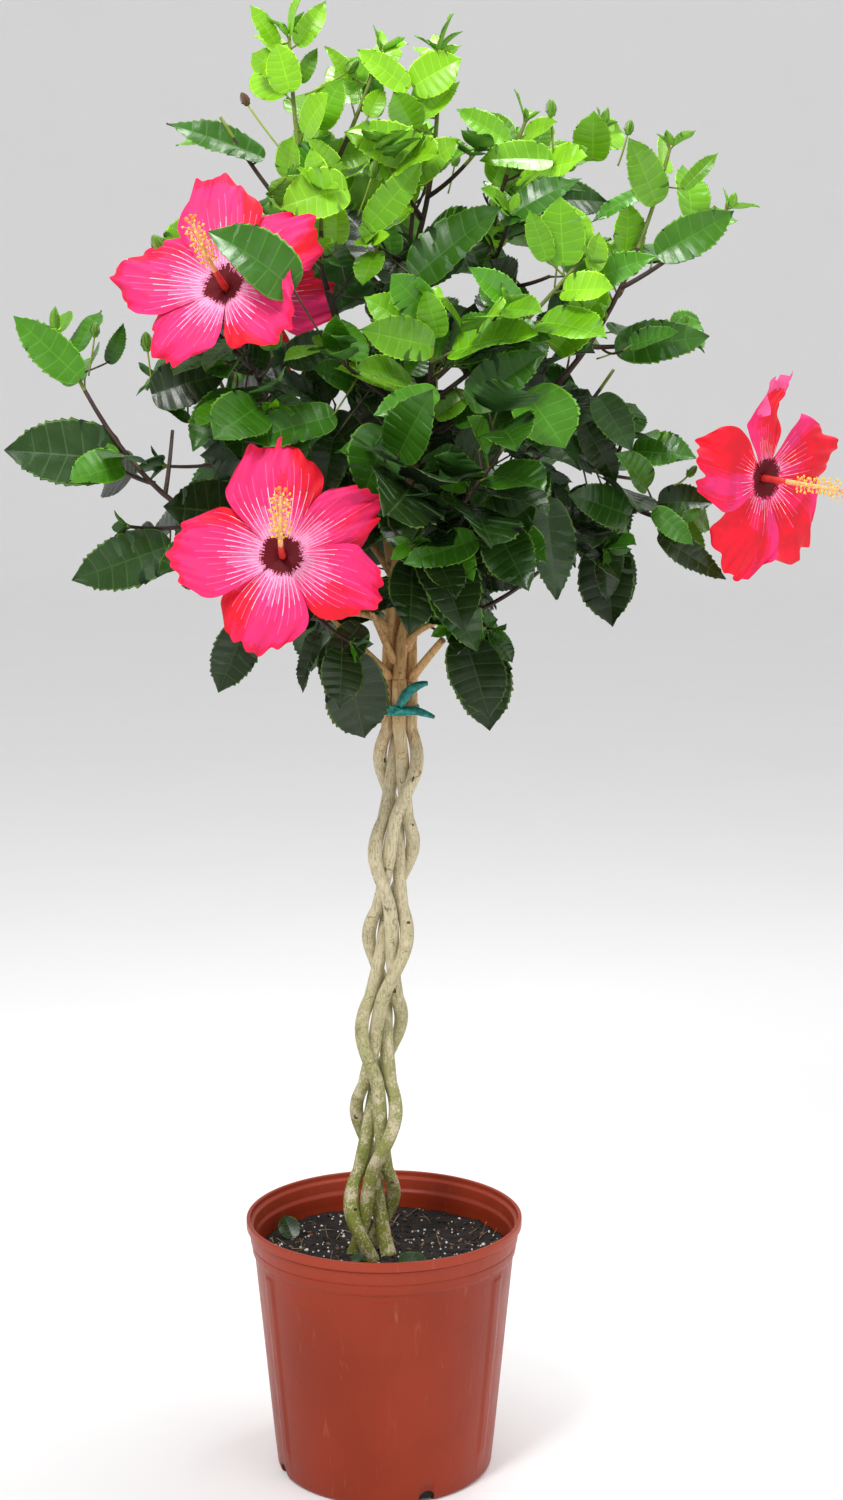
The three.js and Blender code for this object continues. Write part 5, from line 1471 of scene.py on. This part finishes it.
def bud_shapes(buds, root, foot, size, dry, random):
    """A flower bud on its stalk: the closed petals' cone in five sepals, ringed by slim bracts."""
    root, foot = vec(*root), vec(*foot)
    way = unit(unit(foot - root) + UP * 0.4)
    green, bract = (2, 2) if dry else (0, 1)
    bend = mix(root, foot, 0.5) + vec(0, 0, -3)
    buds.add(*tube(Line(root, bend, foot).at(np.linspace(0, 1, 9)), 0.85, 6), 3)
    buds.add(*ball(foot + way * size * 0.9, (size * 0.46, size), way, 9, 10), green)
    level = unit(np.cross(way, vec(0.2, 0.9, 0.1)))
    over = np.cross(way, level)
    for number in range(BUD["bracts"]):
        angle = number / BUD["bracts"] * TURN + random() * 0.3
        radial = turned(level, over, angle)
        start = foot + way * size * 0.1
        end = start + unit(radial + way * 0.9) * size * 0.95
        buds.add(*tube(Line(start, mix(start, end, 0.5) - way, end).at(np.linspace(0, 1, 4)),
                       [0.7, 0.55, 0.4, 0.15], 4), bract)
    for number in range(BUD["sepals"]):
        angle = number / BUD["sepals"] * TURN
        radial = turned(level, over, angle)
        side = np.cross(way, radial)
        t = np.linspace(0, 1, BUD["sepal_rows"])[:, None, None]
        u = np.array([-1, 0, 1])[None, :, None]
        width = size * 0.3 * (1 - t) ** 0.6
        out = size * 0.53 * np.sin(math.pi * mix(0.12, 0.86, t)) + 0.3
        sheet = foot + way * size * mix(0.05, 1.75, t) + radial * out + side * u * width
        buds.add(sheet.reshape(-1, 3), grid_quads(BUD["sepal_rows"], 3), green)


# ---------------- flowers


PETAL_TONES = ("eye", "throat", "vein", "light", "pink", "rose", "red")
EYE, THROAT, VEIN, LIGHT, PINK, ROSE, RED = range(7)
PETAL = {"rows": 46, "veins": 13, "between": 4, "vein_width": 0.016, "half_width": 41}
ANTHERS = {"count": 72, "first": 0.46, "last": 0.96}
STIGMA_PADS = 5
CALYX_TEETH = 12


def petal_columns():
    """Where a petal's columns lie from side to side, and which strips between them are veins."""
    edges, veins = [-1.0], []
    for centre in np.linspace(-0.86, 0.86, PETAL["veins"]):
        low = centre - PETAL["vein_width"] / 2
        start = edges[-1]
        edges += [mix(start, low, k / PETAL["between"]) for k in range(1, PETAL["between"] + 1)]
        veins.append(len(edges) - 1)
        edges.append(low + PETAL["vein_width"])
    start = edges[-1]
    edges += [mix(start, 1, k / PETAL["between"]) for k in range(1, PETAL["between"] + 1)]
    is_vein = np.zeros(len(edges) - 1, bool)
    is_vein[veins] = True
    return np.array(edges), is_vein


PETAL_EDGES, PETAL_IS_VEIN = petal_columns()


def petal_sheet(frame_of_bloom, turn, long, wide, random, ruffle, narrow):
    """One petal: broad and rounded, veined, with a crimped edge and a twist of its own."""
    at, face, side, top = frame_of_bloom
    out = turned(top, side, turn)
    across = side * math.cos(turn) - top * math.sin(turn)
    v = np.linspace(0, 1, PETAL["rows"])[:, None]
    u = PETAL_EDGES[None]
    half = PETAL["half_width"] * wide * (0.18 + 0.82 * np.sin(2.16 * v**1.1))
    scallop = 2.6 * v**6 * (np.sin(u * 7.5 + random() * TURN) + 0.7 * np.sin(u * 17 + random() * TURN))
    reach = mix(3, BLOOM["radius"] * long, v * (1 - 0.3 * np.abs(u) ** 2.5 * v)) + scallop
    ahead = 13 * v**0.6 - 7 * v**3 + 6 * u * v - 5
    edge = np.maximum(v**4, np.abs(u) ** 4 * v)
    for waves, share in ((4.4, 1.0), (10.5, 0.55), (24, 0.26)):
        ahead = ahead + ruffle * share * edge * np.sin(u * waves + v * waves * 0.7 + random() * TURN)
    fold = random.between(-5, 7)
    ahead = ahead + fold * v**2 - random.between(2, 9) * v**5 + random.between(-7, 5) * (u * v) ** 2
    ahead = ahead + 1.2 * v * np.sin(u * 5 + random() * TURN) + random.between(-5, 5) * u * v**2
    is_vein = PETAL_IS_VEIN.astype(float)
    strips = np.concatenate([[0], is_vein]) + np.concatenate([is_vein, [0]])
    ahead = ahead + 0.35 * strips[None] * (1 - v)
    if narrow:
        ahead = ahead + 24 * smooth((v - 0.62) / 0.38) * v - 10 * (u * v) ** 2
    skew = random.between(-0.07, 0.07) * v
    points = (at + reach[..., None] * out + (u * half + skew * reach)[..., None] * across
              + ahead[..., None] * face)
    return points.reshape(-1, 3)


def petal_marks(random, redness, narrow):
    """The tone of each of a petal's faces: dark eye, pale veined throat, pink body and a red side."""
    u = (PETAL_EDGES[1:] + PETAL_EDGES[:-1])[None] / 2
    v = (np.arange(PETAL["rows"] - 1)[:, None] + 0.5) / (PETAL["rows"] - 1)
    streak = np.array([random() for _ in PETAL_IS_VEIN])[None]
    cloud = np.sin(u * 3.1 + v * 2 + random() * TURN) + 0.6 * np.sin(u * 8 - v * 5 + random() * TURN)
    blush = -0.85 * u + 0.3 * cloud + 0.3 * (streak - 0.5) + redness - 0.25 * (v < 0.5)
    marks = np.full(blush.shape, PINK)
    marks[blush > 0.34] = ROSE
    marks[blush > 0.62] = RED
    marks[(v > 0.95 - 0.05 * streak) & (marks == PINK)] = ROSE
    spread = 1 - 0.35 * np.abs(u)
    marks[v < (0.44 + 0.2 * (streak - 0.5)) * spread - 0.25 * redness] = LIGHT
    marks[v < (0.28 + 0.12 * (streak - 0.5)) * spread - 0.12 * redness] = THROAT
    ends = (0.9 - 0.3 * streak) * (1 - 0.2 * np.abs(u)) - 0.3 * redness
    marks[PETAL_IS_VEIN[None] & (v < ends)] = LIGHT
    marks[PETAL_IS_VEIN[None] & (v < ends * 0.72)] = VEIN
    marks[v < 0.14 - 0.05 * np.abs(u) + 0.05 * streak + 0.02 * PETAL_IS_VEIN[None]] = EYE
    if narrow:
        marks[v > 0.84 + 0.06 * streak] = LIGHT
    return marks.ravel()


def column_shapes(parts, name, random):
    """The bloom's column with its anthers and five stigma pads, its calyx and its stalk."""
    at, face, side, top = bloom_frame(name)
    tip = at + vec(*BLOOMS[name]["column"])
    line = Line(at - face * 6, at + face * BLOOM["column"] * 0.5, tip)
    points = line.at(np.linspace(0, 1, 18))
    parts.add(*tube(points[:7], np.linspace(3.3, 2.3, 7), 10), 0)
    parts.add(*tube(points[6:], np.linspace(2.3, 1.3, 12), 10), 1)
    for number in range(ANTHERS["count"]):
        share = mix(ANTHERS["first"], ANTHERS["last"], number / (ANTHERS["count"] - 1))
        turn = number * LEAF["phyllotaxis"]
        start = line.at(share)
        ahead = line.way(share)
        radial = turned(side, top, turn)
        end = start + unit(radial - ahead * radial.dot(ahead) + ahead * 0.4) * random.between(4.5, 10)
        parts.add(*tube([start, end], 0.26, 3), 1)
        parts.add(*ball(end, (1.0, 1.45), radial, 5, 6), 2)
    ahead = line.way(1)
    for number in range(STIGMA_PADS):
        turn = number / STIGMA_PADS * TURN
        radial = turned(side, top, turn)
        end = tip + unit((radial - ahead * radial.dot(ahead)) * 0.8 + ahead) * 6.5
        parts.add(*tube([tip, end], 0.42, 4), 1)
        parts.add(*ball(end, (1.9, 1.5), ahead, 6, 8), 3)
    foot = at - face * BLOOM["calyx"]
    cup = np.linspace(0, 1, 8)
    parts.add(*tube(foot + np.outer(cup, face) * 15, mix(3.2, 8, cup**0.8), 12), 4)
    for number in range(CALYX_TEETH):
        turn = number / CALYX_TEETH * TURN
        radial = turned(side, top, turn)
        slim = number % 2
        start = foot + radial * (3.5 if slim else 7.6) + face * (2 if slim else 12)
        end = start + unit(radial * (1.6 if slim else 1.4) + face) * (11 if slim else 7)
        parts.add(*tube([start, mix(start, end, 0.5) + radial, end], [0.9, 0.75, 0.15], 4), 4)
    stalk = STALKS[name].at(np.linspace(0, 1, 14))
    parts.add(*tube(stalk, mix(TWIG["side"], 1.6, np.linspace(0, 1, 14)), 8), 4)


# ---------------- operators


class HIBISCUS_OT_pot(bpy.types.Operator):
    """Builds the ribbed nursery pot with its drain holes"""
    bl_idname = "hibiscus.pot"
    bl_label = "Pot"

    def execute(self, context):
        settings = context.scene.hibiscus_pot
        nodes = Nodes("pot_plastic")
        place = nodes.place()
        cloud = nodes.noise(9, 4, place, 0.4)
        height = nodes.make("ShaderNodeSeparateXYZ", 2, {0: place})
        scuffs = nodes.noise(160, 5, nodes.make("ShaderNodeMapping", inputs={
            "Vector": place, "Scale": (1, 1, 0.12),
        }), 1.5)
        colour = tuple(settings.colour)
        light = tuple(min(1, c * 1.25 + 0.015) for c in colour)
        deep = tuple(c * 0.82 for c in colour)
        body = nodes.between(nodes.ranged(cloud, 0.3, 0.7), deep, colour)
        # Painted light: from 200 mm up, the bands and lip are mixed towards a lighter tone, as if they catch
        # the light from above.
        body = nodes.between(nodes.ranged(height, 0.2, 0.24, 0, 0.55), body, light)
        dusty = nodes.between(nodes.ranged(scuffs, 0.62, 0.8, 0, 0.16), body, linear(210, 150, 130))
        finish = nodes.surface(
            Base_Color=dusty, Roughness=nodes.ranged(scuffs, 0.4, 0.75, 0.36, 0.5),
            Specular_IOR_Level=0.25, Normal=nodes.bump(nodes.noise(700, 2, place), 0.12, 0.0003),
        )
        pot = pot_mesh(settings).build("nursery_pot", [finish])
        cap_and_wind(pot)
        drill_drains(pot)
        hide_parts("pot")
        return {"FINISHED"}


class HIBISCUS_OT_mix(bpy.types.Operator):
    """Builds the loose potting mix and its bits"""
    bl_idname = "hibiscus.mix"
    bl_label = "Potting mix"

    def execute(self, context):
        settings = context.scene.hibiscus_mix
        colour = tuple(settings.colour)
        loam = plain_finish("mix_loam", colour, 0.9, 300, 0.003, 0.6)
        surface = mix_surface().build("mix_surface", [loam])
        cap_and_wind(surface)
        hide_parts("potting_mix")
        finishes = [
            plain_finish("mix_chip", linear(38, 26, 20), 0.8, 500, 0.0006, 0.4),
            plain_finish("mix_pale_chip", linear(112, 84, 58), 0.8, 500, 0.0006, 0.4),
            plain_finish("mix_perlite", linear(232, 230, 222), 0.85, 900, 0.0004, 0.08),
            plain_finish("mix_fibre", linear(150, 132, 98), 0.8, 700, 0.0003, 0.3),
        ]
        bits = mix_bits(settings).build("mix_bits", finishes)
        return {"FINISHED"}


class HIBISCUS_OT_bark(bpy.types.Operator):
    """Builds the plaited stems and the boughs with their bark"""
    bl_idname = "hibiscus.bark"
    bl_label = "Stems and boughs"

    def execute(self, context):
        settings = context.scene.hibiscus_bark
        depth = settings.relief / MM
        # Near the top the stems turn to the fork's tan, which is partly painted light against the crown's
        # shade.
        stem_bark = bark_finish(
            "stem_bark", tuple(settings.stem), tuple(settings.fork), 640, 760, tuple(settings.moss),
        )
        knot = plain_finish("knot_scar", linear(70, 48, 30), 0.8, 600, 0.0006, 0.4)
        for name in STEMS:
            shape = Joined()
            shape.add(*stem_shape(name, depth))
            stem = shape.build(name + "_bark", [stem_bark, knot])
            cap_and_wind(stem)
            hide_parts(name)
        # The boughs start from the same tan at the fork, which is partly painted light.
        bough_bark = bark_finish("bough_bark", tuple(settings.fork), tuple(settings.bough), 820, 950, None)
        shape = Joined()
        for bough in BOUGH.values():
            shape.add(*bough_shape(bough, depth))
        rings, sides = FORK_BRANCH_MESH["rings"], FORK_BRANCH_MESH["sides"]
        for *points, foot, end in FORK_BRANCHES:
            line = Line(*[vec(*point) for point in points])
            shape.add(*tube(line.at(np.linspace(0, 1, rings)), np.linspace(foot, end, rings), sides))
        boughs = shape.build("boughs_bark", [bough_bark])
        cap_and_wind(boughs)
        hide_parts(*BOUGH)
        return {"FINISHED"}


class HIBISCUS_OT_tie(bpy.types.Operator):
    """Builds the tie tape round the stems under the fork"""
    bl_idname = "hibiscus.tie"
    bl_label = "Tie tape"

    def execute(self, context):
        nodes = Nodes("tie_tape")
        place = nodes.place()
        weave = nodes.noise(1400, 2, nodes.make("ShaderNodeMapping", inputs={
            "Vector": place, "Scale": (0.15, 0.15, 1),
        }))
        folds = nodes.noise(220, 3, place)
        # Painted shade and light: the teal is darker in the hollows of the folds and lighter on their crests,
        # following the same noise that bumps them.
        finish = nodes.surface(
            Base_Color=nodes.between(nodes.ranged(folds, 0.3, 0.7), linear(8, 96, 92), linear(34, 158, 146)),
            Roughness=0.5, Normal=nodes.bump(weave, 0.4, 0.0004, nodes.bump(folds, 0.6, 0.0012)),
        )
        centre = plait_axis(TIE["low"])
        reach = stem_taper(TIE["low"]) * (PLAIT["slack"] * PLAIT["square"] + 1) + 4 * GAP
        tape = Joined()
        angles = np.arange(96) / 96 * TURN
        middle = TIE["low"] + TIE["height"] / 2
        for turn_number, tilt in enumerate((0.9, -1.1)):
            rows = []
            for share in np.linspace(-1, 1, 9):
                crease = 0.35 * np.sin(angles * 14 + share * 2.4 + turn_number) + 0.25 * share**2
                radius = reach - 0.2 + 0.5 * turn_number + crease
                z = middle + share * TIE["height"] * 0.42 + tilt * np.sin(angles + turn_number)
                rows.append(np.stack([centre + radius * np.cos(angles), radius * np.sin(angles), z], axis=-1))
            tape.add(np.array(rows).reshape(-1, 3), grid_quads(9, len(angles), closed=True))
        knot = vec(centre - 1, -reach - TIE["knot_proud"] * 0.7, TIE["knot_height"])
        for number in range(3):
            offset = vec(number * 1.6 - 1.6, 0.3 * number, 1.2 * number - 1.4)
            tape.add(*ball(knot + offset, (2.2, 4.2), vec(1, 0.2, 0.8 - 0.7 * number), 8, 10))
        tails = [
            (vec(9, -3, 24), vec(27, -4, 25), 4.6), (vec(14, -4, 3), vec(33, -3, -6), 3.6),
        ]
        for bend, end, width in tails:
            line = Line(knot, knot + bend, knot + end)
            t = np.linspace(0, 1, 18)
            spine = line.at(t)
            ways = np.gradient(spine, axis=0)
            ways /= np.linalg.norm(ways, axis=1, keepdims=True)
            over = np.cross(ways, vec(0.1, -1, 0.25))
            over /= np.linalg.norm(over, axis=1, keepdims=True)
            spread = width * (0.35 + 0.65 * np.sin(math.pi * np.clip(t * 0.9 + 0.08, 0, 1)))
            u = np.linspace(-1, 1, 7)
            sheet = spine[:, None] + over[:, None] * (u[None] * spread[:, None])[..., None]
            sheet[..., 1] += (1.5 * u[None] ** 2 + 0.4 * np.sin(t * 14)[:, None])
            tape.add(sheet.reshape(-1, 3), grid_quads(len(t), len(u)))
        piece = tape.build("tie_tape_band", [finish])
        apply_modifier(piece, "SOLIDIFY", thickness=0.0005, offset=0)
        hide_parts("tie_tape")
        return {"FINISHED"}


class HIBISCUS_OT_foliage(bpy.types.Operator):
    """Grows the shoots, sprigs, leaves and buds of the crown"""
    bl_idname = "hibiscus.foliage"
    bl_label = "Foliage"

    def execute(self, context):
        settings = context.scene.hibiscus_leaf
        shoots, leaves = grow_crown()
        random = Seeded(400)
        main_shoots = [shoot for own in MASSES.values() for shoot in own]
        for shoot in main_shoots:
            if shoot["bears"] is None and not Space.open_sky(shoot["spaced"][-1:]):
                leaves += tip_leaves(shoot, random)
        self.make_leaves(settings, leaves)
        self.make_twigs(shoots, leaves)
        self.make_buds()
        self.make_fallen(settings)
        return {"FINISHED"}

    def finishes(self, settings, first, last):
        """The finishes of a leaf's four parts, for each tone from first to last."""
        listed = []
        for number in range(first, last):
            tone = TONES[number]
            colour = np.array(getattr(settings, tone))
            tints = {
                "blade": (colour, 0.21),
                "rib": (colour * (1.3, 1.2, 1.2) + (0.014, 0.026, 0.007), 0.4),
                # The pale edge strip is partly the leaf margin's own yellow-green and partly a painted
                # highlight along the rim.
                "edge": (colour * (1.8, 1.5, 1.1) + (0.05, 0.09, 0.01), 0.42),
                "under": (colour * 0.8 + (0.03, 0.055, 0.03), 0.6),
            }
            for part in LEAF_PARTS:
                key = f"leaf_{part}_{tone}"
                tint, gloss = tints[part]
                listed.append(bpy.data.materials.get(key) or leaf_finish(key, tuple(tint), gloss))
        return listed

    def make_leaves(self, settings, leaves):
        random = Seeded(500)
        tooth, quilt = settings.tooth / MM, settings.quilt / MM
        groups = {"old": (0, 2), "grown": (2, 4), "young": (4, 6)}
        for group, (first, last) in groups.items():
            picked = [leaf for leaf in leaves if first <= tone_of(leaf) < last]
            pieces = math.ceil(len(picked) / LEAVES_IN_PIECE)
            for number in range(pieces):
                shape = Joined()
                for leaf in picked[number::pieces]:
                    marks = BLADE_MARKS + len(LEAF_PARTS) * (tone_of(leaf) - first)
                    shape.add(blade_shape(leaf, random, tooth, quilt), BLADE_QUADS, marks)
                piece = shape.build(f"leaves_{group}_{number + 1}", self.finishes(settings, first, last))
                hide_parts(*MASS_NODES)

    def make_twigs(self, shoots, leaves):
        brown = plain_finish("twig_brown", linear(62, 42, 34), 0.6, 500, 0.0005, 0.3)
        green = plain_finish("twig_green", linear(112, 128, 46), 0.5, 500, 0.0004, 0.25)
        dull = plain_finish("twig_dull", linear(66, 66, 34), 0.55, 500, 0.0004, 0.25)
        twigs = Joined()
        for shoot in shoots:
            count, sides = 14, 7
            shares = np.linspace(0, 1, count)
            radii = mix(shoot["radii"][0], shoot["radii"][1], shares)
            radii = radii + 0.25 * np.sin(shares * 40) ** 8
            points, quads = tube(shoot["line"].at(shares), radii, sides)
            soft = (np.repeat(np.arange(count + 1), sides) / count) > 0.45 + 0.8 * shoot["age"]
            twigs.add(points, quads, np.where(soft, 1, 0))
        for leaf in leaves:
            points, quads = petiole_shape(leaf)
            twigs.add(points, quads, 1 if leaf["age"] < 0.4 else 2)
        piece = twigs.build("twigs", [brown, green, dull])
        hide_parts(*MASS_NODES)

    def make_buds(self):
        random = Seeded(600)
        buds = Joined()
        for root, foot, size, dry in BUDS:
            bud_shapes(buds, root, foot, size, dry, random)
        finishes = [
            leaf_finish("bud_green", linear(104, 150, 44), 0.4),
            leaf_finish("bract_green", linear(84, 132, 36), 0.42),
            plain_finish("bud_dry", linear(96, 70, 48), 0.8, 600, 0.0004, 0.3),
            leaf_finish("bud_stalk", linear(138, 158, 48), 0.45),
        ]
        piece = buds.build("buds", finishes)

    def make_fallen(self, settings):
        """Three fallen leaves on the mix."""
        random = Seeded(700)
        shape = Joined()
        spots = [
            (vec(-88, 30, 205), vec(-0.3, 0.6, 0.6), vec(0.3, -1, 0.5), 26),
            (vec(-30, -30, 206), vec(0.8, -0.3, 0.3), vec(0, -0.6, 1), 16),
            (vec(14, -34, 206), vec(1, 0.1, 0.05), vec(0, -0.4, 1), 28),
        ]
        for base, way, facing, length in spots:
            way = unit(way)
            normal = unit(facing - way * facing.dot(way))
            leaf = {
                "base": base, "way": way, "normal": normal, "side": np.cross(normal, way),
                "length": length, "width": length * 0.8,
            }
            shape.add(blade_shape(leaf, random, 1.0, 0.5), BLADE_QUADS, BLADE_MARKS)
        # The fallen leaves take the darkest green, partly as old leaves' own colour and partly as painted
        # shade for the shade under the crown.
        piece = shape.build("fallen_leaves", self.finishes(settings, 0, 1))


class HIBISCUS_OT_blooms(bpy.types.Operator):
    """Builds the open flowers"""
    bl_idname = "hibiscus.blooms"
    bl_label = "Flowers"

    def execute(self, context):
        settings = context.scene.hibiscus_bloom
        petal_finishes = [
            petal_finish("petal_" + tone, tuple(getattr(settings, tone))) for tone in PETAL_TONES
        ]
        column_finishes = [
            plain_finish("column_foot", linear(206, 44, 36), 0.5, 700, 0.0002, 0.15),
            plain_finish("column_tube", linear(250, 186, 120), 0.5, 700, 0.0002, 0.15),
            plain_finish("anther", linear(252, 196, 74), 0.7, 900, 0.0003, 0.2),
            plain_finish("stigma", linear(244, 120, 52), 0.6, 900, 0.0003, 0.15),
            leaf_finish("calyx_green", linear(96, 136, 48), 0.4),
        ]
        quads = grid_quads(PETAL["rows"], len(PETAL_EDGES))
        for number, (name, bloom) in enumerate(BLOOMS.items()):
            random = Seeded(800 + number)
            petals = Joined()
            for petal, (offset, long, wide) in enumerate(bloom["petals"]):
                turn = math.radians(bloom["turn"] + offset) + petal / BLOOM["petals"] * TURN
                narrow = petal == bloom["narrow"]
                ruffle = settings.ruffle / MM
                points = petal_sheet(bloom_frame(name), turn, long, wide, random, ruffle, narrow)
                petals.add(points, quads, petal_marks(random, bloom["redness"], narrow))
            piece = petals.build(name + "_petals", petal_finishes)
            parts = Joined()
            column_shapes(parts, name, random)
            column = parts.build(name + "_column", column_finishes)
            for made in (piece, column):
                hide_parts(name)
        return {"FINISHED"}


class HIBISCUS_OT_stage(bpy.types.Operator):
    """Sets up the pale floor, the soft light and the camera"""
    bl_idname = "hibiscus.stage"
    bl_label = "Stage"

    CAMERA = {"at": (0.035, -2.0, 0.95), "pitch": 7.7, "lens": 53.09}

    def execute(self, context):
        settings = context.scene.hibiscus_stage
        scene = context.scene
        scene.view_settings.view_transform = "Standard"
        floor = bpy.data.objects.new("backdrop", self.sweep())
        mesh = floor.data
        scene.collection.objects.link(floor)
        nodes = Nodes("floor_paint")
        tone = tuple(settings.floor)
        light = tuple(min(1, c * 1.03) for c in tone)
        mesh.materials.append(nodes.surface(
            Base_Color=nodes.between(nodes.noise(3, 2), tone, light), Roughness=0.85,
        ))
        world = bpy.data.worlds.new("sky")
        world.use_nodes = True
        background = world.node_tree.nodes["Background"]
        background.inputs["Color"].default_value = (1, 1, 1, 1)
        background.inputs["Strength"].default_value = settings.daylight
        scene.world = world
        self.lamp(scene, "key_lamp", (-0.9, -1.6, 2.7), (0.05, 0, 1.0), settings.key, 0.6)
        self.lamp(scene, "top_lamp", (0.5, 0.3, 2.9), (0, 0, 1.0), settings.key * 0.9, 0.8)
        self.lamp(scene, "fill_lamp", (1.9, -1.7, 1.4), (0, 0, 0.8), settings.key * 0.3, 1.6)
        data = bpy.data.cameras.new("camera")
        data.lens = self.CAMERA["lens"]
        data.sensor_width = 36
        camera = bpy.data.objects.new("camera", data)
        camera.location = self.CAMERA["at"]
        camera.rotation_euler = (math.radians(90 - self.CAMERA["pitch"]), 0, 0)
        scene.collection.objects.link(camera)
        scene.camera = camera
        return {"FINISHED"}

    @staticmethod
    def sweep():
        """A floor that curves up far behind the plant into a plain backdrop."""
        reach, bend, height = 24.0, 3.0, 12.0
        turns = np.linspace(0, math.pi / 2, 17)
        run = [(-reach, 0.0)]
        run += [(reach / 2 + bend * math.sin(a), bend * (1 - math.cos(a))) for a in turns]
        run += [(reach / 2 + bend, height)]
        corners = [(x, y, z) for y, z in run for x in (-reach, reach)]
        faces = [(2 * i, 2 * i + 1, 2 * i + 3, 2 * i + 2) for i in range(len(run) - 1)]
        mesh = bpy.data.meshes.new("backdrop")
        mesh.from_pydata(corners, [], faces)
        mesh.polygons.foreach_set("use_smooth", np.ones(len(faces), bool))
        return mesh

    @staticmethod
    def lamp(scene, name, at, towards, power, size):
        """A large soft lamp that looks at a point."""
        data = bpy.data.lights.new(name, "AREA")
        data.energy = power
        data.size = size
        lamp = bpy.data.objects.new(name, data)
        lamp.location = at
        way = unit(vec(*towards) - vec(*at))
        pitch = math.acos(-way[2])
        lamp.rotation_euler = (pitch, 0, math.atan2(-way[0], way[1]))
        scene.collection.objects.link(lamp)


# ---------------- panel and registration


OPERATORS = [
    HIBISCUS_OT_stage, HIBISCUS_OT_pot, HIBISCUS_OT_mix, HIBISCUS_OT_bark, HIBISCUS_OT_tie,
    HIBISCUS_OT_foliage, HIBISCUS_OT_blooms,
]
SETTINGS = {
    "hibiscus_pot": HibiscusPotSettings, "hibiscus_mix": HibiscusMixSettings,
    "hibiscus_bark": HibiscusBarkSettings, "hibiscus_leaf": HibiscusLeafSettings,
    "hibiscus_bloom": HibiscusBloomSettings, "hibiscus_stage": HibiscusStageSettings,
}


class HIBISCUS_PT_panel(bpy.types.Panel):
    """Lists the steps that build the plant, with their settings"""
    bl_idname = "HIBISCUS_PT_panel"
    bl_label = "Potted hibiscus"
    bl_space_type = "VIEW_3D"
    bl_region_type = "UI"
    bl_category = "Hibiscus"

    def draw(self, context):
        for operator in OPERATORS:
            self.layout.operator(operator.bl_idname)
        for key in SETTINGS:
            group = getattr(context.scene, key)
            box = self.layout.box()
            for setting in group.bl_rna.properties:
                if setting.identifier not in ("name", "rna_type"):
                    box.prop(group, setting.identifier)


def register():
    for group in SETTINGS.values():
        bpy.utils.register_class(group)
    for key, group in SETTINGS.items():
        setattr(bpy.types.Scene, key, bpy.props.PointerProperty(type=group))
    for operator in OPERATORS:
        bpy.utils.register_class(operator)
    bpy.utils.register_class(HIBISCUS_PT_panel)


def unregister():
    bpy.utils.unregister_class(HIBISCUS_PT_panel)
    for operator in reversed(OPERATORS):
        bpy.utils.unregister_class(operator)
    for key, group in reversed(SETTINGS.items()):
        delattr(bpy.types.Scene, key)
        bpy.utils.unregister_class(group)


def main():
    register()
    bpy.ops.hibiscus.stage()
    bpy.ops.hibiscus.pot()
    bpy.ops.hibiscus.mix()
    bpy.ops.hibiscus.bark()
    bpy.ops.hibiscus.tie()
    bpy.ops.hibiscus.foliage()
    bpy.ops.hibiscus.blooms()
    bpy.context.view_layer.update()


if __name__ == "__main__":
    main()
